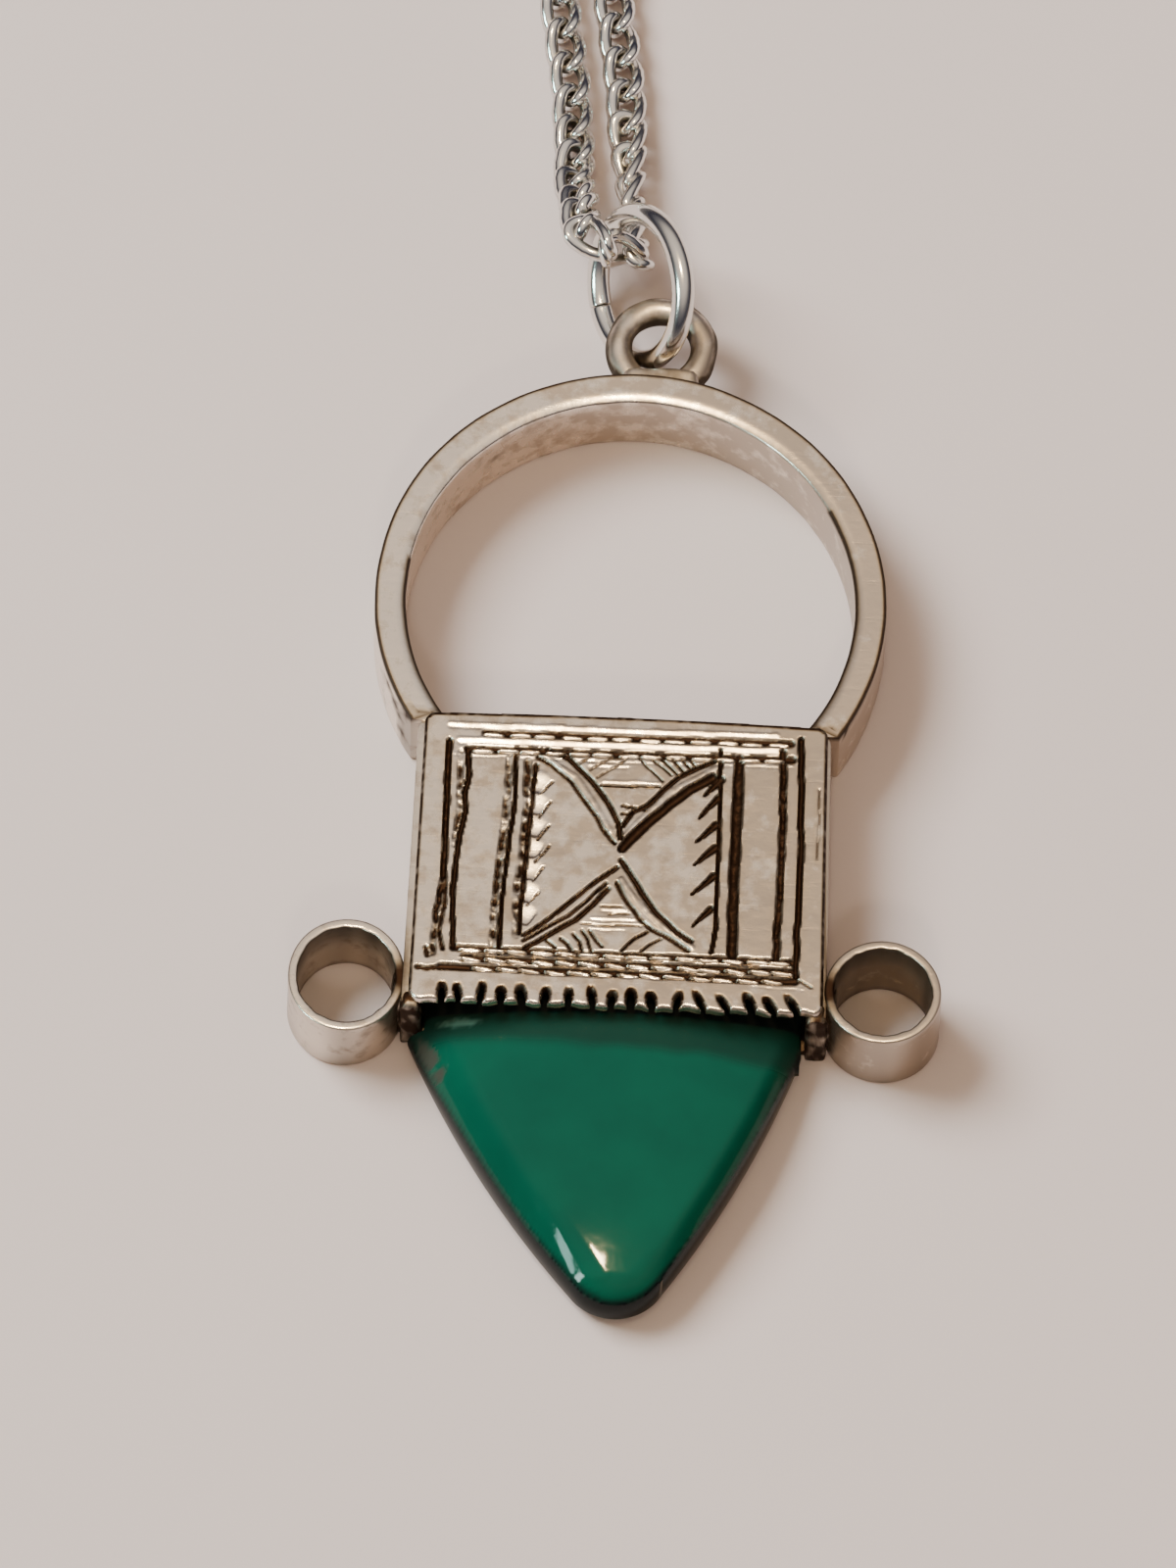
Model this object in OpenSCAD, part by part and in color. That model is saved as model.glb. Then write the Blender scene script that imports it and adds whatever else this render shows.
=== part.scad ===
// Cross necklace: a silver cross pendant with a green stone drop, on a curb chain.
// It lies on its back on a flat surface. Millimetres, +Z up, +Y towards the clasp.
// The origin is the centre of the engraved box's back face, on the surface.

/* [Engraved box] */
// Width of the box at its top edge
box_top_w = 19.3; // [18:0.1:20]
// Width of the box at its lower edge
box_low_w = 19.8; // [19:0.1:20.2]
// Height of the box from its lower edge to its top edge
box_h = 15.2; // [14.5:0.1:16]
// Depth of the box from its back to its engraved face
box_d = 4.65; // [4.4:0.05:5]
// Thickness of the engraved front sheet
front_t = 0.9; // [0.7:0.05:1]
// Thickness of the back sheet
back_t = 0.5; // [0.4:0.05:0.6]
// Thickness of the box's side and top walls
wall_t = 0.7; // [0.6:0.05:0.8]
// Number of notches along the lip over the stone
notch_count = 17; // [9:2:19]
// Width of a notch
notch_w = 0.4; // [0.3:0.05:0.5]
// Depth of a notch
notch_l = 0.8; // [0.5:0.05:1]

/* [Hoop] */
// Outer radius of the hoop
hoop_r = 12.2; // [11.8:0.1:12.6]
// Width of the hoop's bar across its face
hoop_w = 1.5; // [1.2:0.1:1.8]
// Depth of the hoop's bar
hoop_d = 4.3; // [3.8:0.1:4.5]
// Height of the hoop's centre above the box's centre
hoop_y = 14.15; // [13.8:0.05:14.4]
// Height above the box's centre at which the hoop's ends stop
hoop_end_y = 6.5; // [6:0.1:7]

/* [Side tubes] */
// Outer diameter of a side tube
tube_od = 5.5; // [5.2:0.1:5.8]
// Inner diameter of a side tube
tube_id = 4.6; // [4.4:0.1:4.8]
// Distance of a tube's axis from the centre line
tube_x = 12.7; // [12.6:0.05:12.8]
// Place of the tubes' axes along the pendant
tube_y = -5.95; // [-6.4:0.05:-5.6]
// Length of the left tube
tube_left_d = 4; // [3.6:0.1:4.5]
// Length of the right tube
tube_right_d = 4.5; // [4:0.1:4.7]

/* [Eye] */
// Place of the eye on top of the hoop
eye_at = [1, 28.6, 2.5];
// Radius of the eye to the middle of its wire
eye_r = 2.05; // [2:0.05:2.1]
// Diameter of the eye's wire
eye_wire = 1.2; // [1.1:0.05:1.25]

/* [Stone] */
// Width of the stone where it leaves the box
stone_w = 18.5; // [18:0.1:18.7]
// Length of the stone below the box
stone_l = 14.1; // [13.5:0.1:14.5]
// Radius of the stone's long sides
stone_side_r = 50; // [40:1:70]
// Radius of the stone's tip
stone_tip_r = 2.6; // [2.2:0.1:3]
// Height of the stone's flat back above the surface
stone_z = 0.6; // [0.6:0.05:0.7]
// Height of the top of the dome above the surface
stone_top_z = 4; // [3.8:0.05:4]
// Radius of the dome
stone_dome_r = 30; // [28:1:36]
// Turn of the stone in its seat, in degrees
stone_turn = 2.9; // [0:0.1:3]
// Width of the stone's tang inside the box
tang_w = 16.8; // [15:0.1:17]
// Length of the stone's tang inside the box
tang_l = 3.4; // [2.5:0.1:4]

/* [Jump ring] */
// Radius of the jump ring to the middle of its wire
ring_r = 3.55; // [3.5:0.01:3.6]
// Diameter of the jump ring's wire
ring_wire = 1.08; // [1:0.01:1.1]
// Centre of the jump ring
ring_at = [-0.12, 31.3, 3.71];
// Lean of the jump ring from lying flat, in degrees
ring_lean = 62.5; // [62:0.1:63]
// Way in which the jump ring leans, in degrees from +X
ring_way = 203; // [202:1:204]

/* [Chain] */
// Diameter of the chain's wire
link_wire = 0.5; // [0.46:0.01:0.5]
// Outer width of a link
link_w = 1.9; // [1.88:0.01:1.92]
// Distance from one link to the next along the chain
link_pitch = 1.85; // [1.85:0.01:1.87]
// Clear space between the ends of neighbouring links
link_gap = 0.12; // [0.12:0.01:0.14]
// Height of the chain's middle above the surface
chain_z = 0.8; // [0.8:0.01:0.85]
// Links on each side between the turn at the jump ring and the clasp
side_links = 113; // [100:1:114]
// Place between the two strands from which the loop opens out
strand_at = [-2.5, 43.15];
// Distance between the two strands there
strand_gap = 2.6; // [2.5:0.1:3]
// Lean of the loop's middle line from +Y, in degrees
loop_lean = 9; // [8:0.5:10]
// Straight length of each strand before it spreads
neck_l = 6; // [5:1:20]
// Angle at which each side spreads from the middle line, in degrees
spread = 45; // [35:1:50]
// Radius of the bend with which each side spreads
spread_r = 30; // [20:1:40]

/* [Clasp] */
// Diameter of the clasp's barrel
clasp_dia = 1.6; // [1.4:0.05:1.6]
// Length of the clasp's barrel
clasp_l = 6; // [4:0.5:10]
// Radius of the clasp's end eyes to the middle of their wire
clasp_eye_r = 0.85; // [0.8:0.01:0.9]
// Diameter of the end eyes' wire
clasp_eye_wire = 0.6; // [0.55:0.01:0.6]

/* [Hidden] */

silver = [0.72, 0.69, 0.66];
polished = [0.85, 0.84, 0.83];
green = [0.04, 0.4, 0.3];

// How finely round shapes are drawn, and how far a cut runs past its face
round_fn = 96;
wire_fn = 24;
past = 1;
notch_past = 0.1;

// The box, with its top and lower edges along Y
box_low_y = -box_h / 2;
box_top_y = box_h / 2;
notch_pitch = 1.07;

// A seat of solder joins each side tube to the box, and one fills the foot of the eye
seat_l = 2.4;
seat_d = 3.4;
seat_w = 1.4;
foot_r = 0.6;
foot_l = 3;
foot_rise = 0.25;
foot_at = [eye_at.x, hoop_y + hoop_r + foot_rise, eye_at.z];

// The stone's outline: a long arc down each side, from the shoulder to where the tip's arc starts
stone_gap = 0.1;
dome_y = -12.5;
tip_turn = 34;
tip_mid = [0, stone_tip_r - stone_l];
shoulder = [stone_w / 2, 0];
tip_start = tip_mid + stone_tip_r * [cos(tip_turn), -sin(tip_turn)];
side_chord = shoulder - tip_start;
side_depth = sqrt(stone_side_r * stone_side_r - side_chord * side_chord / 4);
side_mid = (shoulder + tip_start) / 2 + side_depth * [-side_chord.y, side_chord.x] / norm(side_chord);
side_steps = 12;
tip_steps = 6;

// The turn of the chain round the jump ring's wire: a row for each end of a link, with the
// link's roll about its own line in degrees. In the turn, links stand across or along the wire.
TURN = [
    // x, y, z, roll
    [-3.6, 41.1, 0.8, 41],
    [-3.3, 39.4, 0.95, -40],
    [-3.25, 38.3, 1.25, 61],
    [-3.15, 36.35, 2.1, -20],
    [-3.05, 35.3, 2.7, 72],
    [-2.7, 33.2, 3.75, -29],
    [-1.8, 32.7, 3.7, 75],
    [0.15, 33.55, 2.4, 20],
    [-0.1, 34.55, 1.9, 109],
    [-0.3, 36.7, 1.1, 32],
    [-0.45, 37.9, 0.85, 128],
    [-0.75, 39.8, 0.8, 44],
    [-1, 41.5, 0.8, 133]
];
flat_roll = 45;

// The last links next to the clasp turn upright in equal steps, to pass through its eye
clasp_roll = 45;
clasp_steps = 3;

// Each side of the loop: a straight neck, a bend outwards, a straight side and one large arc
// that ends at the clasp. The straight side is as long as the number of links asks.
half_gap = strand_gap / 2;
clasp_half = clasp_l / 2 + clasp_eye_r + (link_gap + link_wire) / 2;
side_total = side_links * link_pitch + clasp_half;
bend_l = spread_r * spread * PI / 180;
arc_turn = 90 + spread;
arc_rate = arc_turn * PI / 180;
bend_x = half_gap + spread_r * (1 - cos(spread));
side_l = (side_total - neck_l - bend_l - arc_rate * bend_x / cos(spread)) / (1 + arc_rate * tan(spread));
arc_r = (bend_x + side_l * sin(spread)) / cos(spread);
bend_end = [bend_x, neck_l + spread_r * sin(spread)];
side_end = bend_end + side_l * [sin(spread), cos(spread)];
arc_mid = side_end + arc_r * [-cos(spread), sin(spread)];
side_1 = neck_l + bend_l;
side_2 = side_1 + side_l;

// A place on the loop's right side, from its distance along the chain
function bend_at(t) = [half_gap + spread_r * (1 - cos(t)), neck_l + spread_r * sin(t)];
function arc_at(t) = arc_mid + arc_r * [cos(t - spread), sin(t - spread)];
function side_at(s) =
    s < neck_l ? [half_gap, s] :
    s < side_1 ? bend_at((s - neck_l) / spread_r * 180 / PI) :
    s < side_2 ? bend_end + (s - side_1) * [sin(spread), cos(spread)] :
    arc_at((s - side_2) / arc_r * 180 / PI);

// The same place in the part's own frame, with side -1 for the left and 1 for the right
function leaned(p) = [
    strand_at.x + p.x * cos(loop_lean) - p.y * sin(loop_lean),
    strand_at.y + p.x * sin(loop_lean) + p.y * cos(loop_lean)
];
function loop_point(s, side) =
    let (p = side_at(s), q = leaned([side * p.x, p.y]))
    [q.x, q.y, chain_z];

// The turn of a link about its own line, which alternates from link to link
function end_twist(i) = clasp_roll / clasp_steps * max(0, i + 1 + clasp_steps - side_links);
function side_roll(i, side) = side * ((i % 2 == 0 ? flat_roll : -flat_roll) + end_twist(i));

// A soldered ring of round wire, lying flat
module wire_ring(r, wire) {
    rotate_extrude($fn = round_fn)
        translate([r, 0])
            circle(d = wire, $fn = wire_fn);
}

// The hoop's flat bar, down to where its ends meet the box
module hoop_bar() {
    translate([0, hoop_y, 0])
        difference() {
            cylinder(r = hoop_r, h = hoop_d, $fn = round_fn);
            translate([0, 0, -past])
                cylinder(r = hoop_r - hoop_w, h = hoop_d + 2 * past, $fn = round_fn);
            translate([-2 * hoop_r, hoop_end_y - hoop_y - 2 * hoop_r, -past])
                cube([4 * hoop_r, 2 * hoop_r, hoop_d + 2 * past]);
        }
}

// The box's outside, slightly wider at its lower edge
module box_block() {
    linear_extrude(box_d)
        polygon([
            [-box_low_w / 2, box_low_y],
            [box_low_w / 2, box_low_y],
            [box_top_w / 2, box_top_y],
            [-box_top_w / 2, box_top_y]
        ]);
}

// The hollow inside the box, open at its lower edge for the stone
module box_hollow() {
    hollow_w = box_top_w - 2 * wall_t;
    translate([-hollow_w / 2, box_low_y - past, back_t])
        cube([hollow_w, box_h - wall_t + past, box_d - front_t - back_t]);
}

// The row of notches along the front sheet's lower edge
module lip_notches() {
    for (i = [0 : notch_count - 1])
        translate([(i - (notch_count - 1) / 2) * notch_pitch, box_low_y, box_d - front_t - notch_past]) {
            translate([-notch_w / 2, -past, 0])
                cube([notch_w, notch_l - notch_w / 2 + past, front_t + past]);
            translate([0, notch_l - notch_w / 2, 0])
                cylinder(d = notch_w, h = front_t + past, $fn = wire_fn);
        }
}

// A side tube on the box's lower corner, with its solder
module side_tube(side, depth) {
    seat_x = tube_x - tube_od / 2;
    difference() {
        union() {
            translate([side * tube_x, tube_y, 0])
                cylinder(d = tube_od, h = depth, $fn = round_fn);
            translate([side * seat_x - seat_w / 2, tube_y - seat_l / 2, 0])
                cube([seat_w, seat_l, seat_d]);
        }
        translate([side * tube_x, tube_y, -past])
            cylinder(d = tube_id, h = depth + 2 * past, $fn = round_fn);
    }
}

// The eye on top of the hoop, with solder round its foot
module eye() {
    translate(eye_at)
        wire_ring(eye_r, eye_wire);
    translate([foot_at.x - foot_l / 2, foot_at.y, foot_at.z])
        rotate([0, 90, 0])
            cylinder(r = foot_r, h = foot_l, $fn = wire_fn);
}

// The silver frame: everything that is soldered into one piece
module pendant_frame() {
    color(silver) {
        difference() {
            union() {
                box_block();
                hoop_bar();
            }
            box_hollow();
            lip_notches();
        }
        side_tube(-1, tube_left_d);
        side_tube(1, tube_right_d);
        eye();
    }
}

// Points along an arc, from one angle to another
function arc_points(mid, r, from, to, steps) =
    [for (i = [0 : steps]) let (t = from + (to - from) * i / steps) mid + r * [cos(t), sin(t)]];

// The right half of the stone's outline, from above the shoulder to the tip
function half_outline() =
    let (top = shoulder - side_mid, end = tip_start - side_mid)
    concat(
        [[shoulder.x, past]],
        arc_points(side_mid, stone_side_r, atan2(top.y, top.x), atan2(end.y, end.x), side_steps),
        [for (p = arc_points(tip_mid, stone_tip_r, -tip_turn, -90, tip_steps)) if (p.y < tip_start.y) p]
    );

// The stone's outline below the box, with the box's lower edge at y = 0
module stone_outline() {
    right = half_outline();
    last = len(right) - 1;
    polygon(concat(right, [for (i = [last - 1 : -1 : 0]) [-right[i].x, right[i].y]]));
}

// The green stone: a flat back, an upright rim and a low dome, with a tang inside the box
module stone() {
    color(green)
        translate([0, box_low_y - stone_gap, 0])
            intersection() {
                translate([0, 0, stone_z])
                    union() {
                        intersection() {
                            rotate(stone_turn)
                                linear_extrude(stone_top_z)
                                    stone_outline();
                            translate([-stone_w, -2 * stone_l, 0])
                                cube([2 * stone_w, 2 * stone_l, stone_top_z]);
                        }
                        translate([-tang_w / 2, -past, 0])
                            cube([tang_w, tang_l + past, stone_top_z]);
                    }
                translate([0, dome_y - box_low_y + stone_gap, stone_top_z - stone_dome_r])
                    sphere(r = stone_dome_r, $fn = 2 * round_fn);
            }
}

// The jump ring, leaning in the eye with its low side on the surface
module jump_ring() {
    color(polished)
        translate(ring_at)
            rotate([0, ring_lean, ring_way])
                wire_ring(ring_r, ring_wire);
}

// One link: two half rings and two straight sides, flat in its own plane
module link() {
    bow_r = (link_w - link_wire) / 2;
    half_l = (link_pitch + link_gap + 2 * link_wire - link_w) / 2;
    for (end = [-1, 1])
        translate([end * half_l, 0, 0])
            rotate(-90 * end)
                rotate_extrude(angle = 180, $fn = round_fn)
                    translate([bow_r, 0])
                        circle(d = link_wire, $fn = wire_fn);
    for (side = [-1, 1])
        translate([-half_l, side * bow_r, 0])
            rotate([0, 90, 0])
                cylinder(d = link_wire, h = 2 * half_l, $fn = wire_fn);
}

// A link between two places on the chain's line, rolled about that line
module link_between(p, q, roll) {
    run = q - p;
    translate((p + q) / 2)
        rotate([0, -atan2(run.z, norm([run.x, run.y])), atan2(run.y, run.x)])
            rotate([roll, 0, 0])
                link();
}

// One side of the loop, from the turn to the clasp
module loop_side(side) {
    for (i = [0 : side_links - 1])
        link_between(
            loop_point(i * link_pitch, side),
            loop_point((i + 1) * link_pitch, side),
            side_roll(i, side)
        );
}

// The left half of the curb chain, with the turn round the jump ring
module chain_left() {
    ends = concat([[each loop_point(0, -1), -flat_roll]], TURN, [[each loop_point(0, 1), 0]]);
    color(polished) {
        for (i = [0 : len(ends) - 2]) {
            here = ends[i];
            next = ends[i + 1];
            link_between([here.x, here.y, here.z], [next.x, next.y, next.z], here[3]);
        }
        loop_side(-1);
    }
}

// The right half of the curb chain
module chain_right() {
    color(polished)
        loop_side(1);
}

// The clasp: a plain barrel with an eye at each end for the chain's last links
module clasp() {
    top = leaned([0, arc_mid.y + arc_r]);
    color(polished)
        translate([top.x, top.y, chain_z])
            rotate(loop_lean) {
                translate([-clasp_l / 2, 0, 0])
                    rotate([0, 90, 0])
                        cylinder(d = clasp_dia, h = clasp_l, $fn = wire_fn * 2);
                for (side = [-1, 1])
                    translate([side * (clasp_l / 2 + clasp_eye_r), 0, 0])
                        wire_ring(clasp_eye_r, clasp_eye_wire);
            }
}

pendant_frame();
stone();
jump_ring();
chain_left();
chain_right();
clasp();
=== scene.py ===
import math

import bmesh
import bpy
import numpy as np
from mathutils import Matrix, Vector, noise


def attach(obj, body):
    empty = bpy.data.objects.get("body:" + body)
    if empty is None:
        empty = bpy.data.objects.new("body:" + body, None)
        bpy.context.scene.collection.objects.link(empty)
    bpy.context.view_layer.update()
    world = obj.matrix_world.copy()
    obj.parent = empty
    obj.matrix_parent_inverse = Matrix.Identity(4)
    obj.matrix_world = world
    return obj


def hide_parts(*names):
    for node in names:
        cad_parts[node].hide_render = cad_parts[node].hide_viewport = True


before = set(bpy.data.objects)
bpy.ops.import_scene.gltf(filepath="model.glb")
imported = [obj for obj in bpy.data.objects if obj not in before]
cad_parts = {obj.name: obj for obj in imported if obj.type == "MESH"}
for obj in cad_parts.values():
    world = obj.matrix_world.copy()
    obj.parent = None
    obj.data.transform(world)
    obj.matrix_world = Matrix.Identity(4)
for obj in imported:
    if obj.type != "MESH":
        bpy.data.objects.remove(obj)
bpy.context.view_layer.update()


# Table, light and camera
# The necklace lies on a pale warm-grey board, seen from above its foot. A large soft lamp to the
# upper left, a small one in front and the room's bright ceiling light it. A warm lamp overhead
# and a window of two panes show only in polished surfaces.

# sizes are in millimetres, and each piece is brought to metres as it is finished
MM = 0.001
VIEW_AIM = Vector((-1.65, 4.27, 4.6)) * MM
VIEW_DISTANCE = 1200 * MM
VIEW_ELEVATION = math.radians(64)
VIEW_ROLL = math.radians(2.4)
LONG_SIDE_SENSOR = 36
VIEW_LENS = 580.6
BOARD_SIZE = 4
BOARD_DROP = 0.03
BOARD_TONES = ((0.3, (0.72, 0.583, 0.533, 1)), (0.7, (0.745, 0.603, 0.552, 1)))


def add_object(name, data):
    """Puts a camera, lamp or mesh into the scene as an object."""
    made = bpy.data.objects.new(name, data)
    bpy.context.scene.collection.objects.link(made)
    return made


camera_data = bpy.data.cameras.new("view")
camera_data.sensor_fit = "VERTICAL"
camera_data.sensor_height = LONG_SIDE_SENSOR
camera_data.lens = VIEW_LENS
camera_data.clip_start = 0.01
camera_data.clip_end = 20
camera = add_object("view", camera_data)
back = Vector((0, -math.cos(VIEW_ELEVATION), math.sin(VIEW_ELEVATION)))
camera.matrix_world = (
    Matrix.Translation(VIEW_AIM + back * VIEW_DISTANCE)
    @ Matrix.Rotation(math.pi / 2 - VIEW_ELEVATION, 4, "X")
    @ Matrix.Rotation(VIEW_ROLL, 4, "Z")
)
bpy.context.scene.camera = camera

# name, place, width and height, power, colour, and whether it shows only in polished surfaces
LAMPS = (
    ("upper_left_lamp", (-0.55, 0.3, 0.7), (0.5, 0.5), 15.5, (0.86, 0.96, 1), False),
    ("warm_lamp", (-0.03, -0.08, 0.8), (0.055, 0.055), 7, (1, 0.74, 0.38), True),
    ("front_lamp", (0.02, -0.6, 0.62), (0.09, 0.09), 1.2, (1, 0.88, 0.72), False),
    ("window_left", (-0.81, -0.39, 0.49), (0.085, 0.22), 1.8, (0.6, 1, 0.93), True),
    ("window_right", (-0.73, -0.49, 0.49), (0.085, 0.22), 3, (0.7, 1, 0.95), True),
)
for name, place, size, power, colour, shown in LAMPS:
    lamp_data = bpy.data.lights.new(name, "AREA")
    lamp_data.shape = "RECTANGLE"
    lamp_data.size, lamp_data.size_y = size
    lamp_data.energy = power
    lamp_data.color = colour
    lamp = add_object(name, lamp_data)
    aim = (Vector(place) - VIEW_AIM).to_track_quat("Z", "Y")
    lamp.matrix_world = Matrix.Translation(place) @ aim.to_matrix().to_4x4()
    lamp.visible_glossy = shown
    lamp.visible_diffuse = not shown
    lamp.visible_transmission = False


def set_inputs(tree, node, inputs):
    """Gives each input of a node a value or another node's output."""
    for name, given in inputs.items():
        if isinstance(given, bpy.types.NodeSocket):
            tree.links.new(given, node.inputs[name])
        else:
            node.inputs[name].default_value = given


def add_node(tree, kind, inputs=None, **settings):
    """Places a node with its own settings and its inputs."""
    node = tree.nodes.new(kind)
    for name, value in settings.items():
        setattr(node, name, value)
    set_inputs(tree, node, inputs or {})
    return node


def add_ramp(tree, source, stops):
    """A colour ramp over a value, from places and colours or greys."""
    node = add_node(tree, "ShaderNodeValToRGB", {"Fac": source})
    band = node.color_ramp.elements
    while len(band) < len(stops):
        band.new(0.5)
    for element, (place, colour) in zip(band, stops):
        element.position = place
        grey = not isinstance(colour, tuple)
        element.color = (colour, colour, colour, 1) if grey else colour
    return node.outputs["Color"]


def blend_colours(tree, share, first, second, how="MIX"):
    """Mixes two colours by a share, each of them a colour or a socket."""
    node = add_node(tree, "ShaderNodeMix", {0: share, 6: first, 7: second}, data_type="RGBA",
                    blend_type=how)
    return node.outputs[2]


def add_bump(tree, shader, height, strength, depth):
    """Roughens a material's surface by a height, to a depth in millimetres."""
    bump = add_node(tree, "ShaderNodeBump", {"Height": height, "Strength": strength,
                                             "Distance": depth * MM})
    set_inputs(tree, shader, {"Normal": bump.outputs["Normal"]})


def add_spread(tree, value, low, high):
    """Spreads a value of 0 to 1 between two numbers."""
    node = add_node(tree, "ShaderNodeMapRange", {"Value": value, "To Min": low, "To Max": high})
    return node.outputs["Result"]


def new_finish(name):
    """A material with its node tree and its shader."""
    finish = bpy.data.materials.new(name)
    finish.use_nodes = True
    return finish, finish.node_tree, finish.node_tree.nodes["Principled BSDF"]


def finish_piece(bm, name, finish, slot=None, node=None, sharp=40):
    """Turns a bmesh in millimetres into a piece in metres, smooth but for its sharp edges."""
    bmesh.ops.scale(bm, vec=(MM, MM, MM), verts=bm.verts)
    mesh = bpy.data.meshes.new(name)
    bm.to_mesh(mesh)
    bm.free()
    mesh.shade_smooth()
    if sharp:
        mesh.set_sharp_from_angle(angle=math.radians(sharp))
    mesh.materials.append(finish)
    piece = add_object(name, mesh)
    if slot:
        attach(piece, "root")
    if node:
        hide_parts(node)
    return piece


# The room is warm and bright overhead and dim and bluish towards its walls, which the
# polished silver shows as dark lines. Reflections show it a little brighter and less warm than
# its light on matt things.
ROOM_TONES = ((0, (0.2, 0.18, 0.17, 1)), (0.25, (0.03, 0.03, 0.05, 1)), (0.5, (0.2, 0.19, 0.2, 1)),
              (0.75, (0.8, 0.71, 0.63, 1)), (1, (0.95, 0.85, 0.76, 1)))
ROOM_WARMTH = (1, 0.88, 0.76, 1)
ROOM_LIGHT = 0.8
ROOM_SHINE = 0.9

room = bpy.data.worlds.new("room")
room.use_nodes = True
tree = room.node_tree
sky = add_node(tree, "ShaderNodeTexCoord").outputs["Generated"]
upward = add_node(tree, "ShaderNodeSeparateXYZ", {"Vector": sky}).outputs["Z"]
shade = add_ramp(tree, upward, ROOM_TONES)
ray = add_node(tree, "ShaderNodeLightPath").outputs["Is Glossy Ray"]
tint = blend_colours(tree, ray, ROOM_WARMTH, (1, 1, 1, 1))
shade = blend_colours(tree, 1, shade, tint, "MULTIPLY")
strength = add_spread(tree, ray, ROOM_LIGHT, ROOM_SHINE)
set_inputs(tree, tree.nodes["Background"], {"Color": shade, "Strength": strength})
bpy.context.scene.world = room

board_finish, tree, shader = new_finish("pale_board")
place = add_node(tree, "ShaderNodeTexCoord").outputs["Object"]
cloud = add_node(tree, "ShaderNodeTexNoise", {"Vector": place, "Scale": 18, "Detail": 3})
speck = add_node(tree, "ShaderNodeTexNoise", {"Vector": place, "Scale": 1500, "Detail": 2})
tone = add_ramp(tree, cloud.outputs["Fac"], BOARD_TONES)
set_inputs(tree, shader, {"Base Color": tone, "Roughness": 0.62})
add_bump(tree, shader, speck.outputs["Fac"], 0.12, 0.1)


def shift(bm, by):
    """Moves a whole mesh."""
    bmesh.ops.translate(bm, vec=by, verts=bm.verts)


board = bmesh.new()
bmesh.ops.create_grid(board, x_segments=2, y_segments=2, size=BOARD_SIZE / 2 / MM)
shift(board, (0, 0, -BOARD_DROP))
finish_piece(board, "board", board_finish)


# Engraved plate
# The cross's face is a sheet of silver cut by hand with a graver, and notched along its lower
# lip with a file. Dark oxide is left in every cut. It is soldered on top of the open box.

PLATE_TOP_W = 19.3
PLATE_LOW_W = 19.8
PLATE_HALF_H = 7.6
LIP_Y = -7.32
PLATE_RISE = 0.16
TOP_LAP = 0.18
PLATE_TOP_Z = 4.65
PLATE_T = 0.5
LEFT_INSET = 0.15
PLATE_CELL = 0.06
CORNER_R = 0.5
PLATE_EDGE_R = 0.2
NOTCH_HALF_W = 0.17
NOTCH_L = 0.5
NOTCH_MID = 0.28
LIP_WAVES = ((0.05, 2.3, 0), (0.035, 5.7, 1))
NOTCHES = (-8.15, -7.35, -6.35, -5.35, -4.35, -3.3, -2.15, -1.0, -0.15,
           0.8, 1.8, 2.95, 4.25, 5.4, 6.55, 7.55, 8.7)

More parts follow.
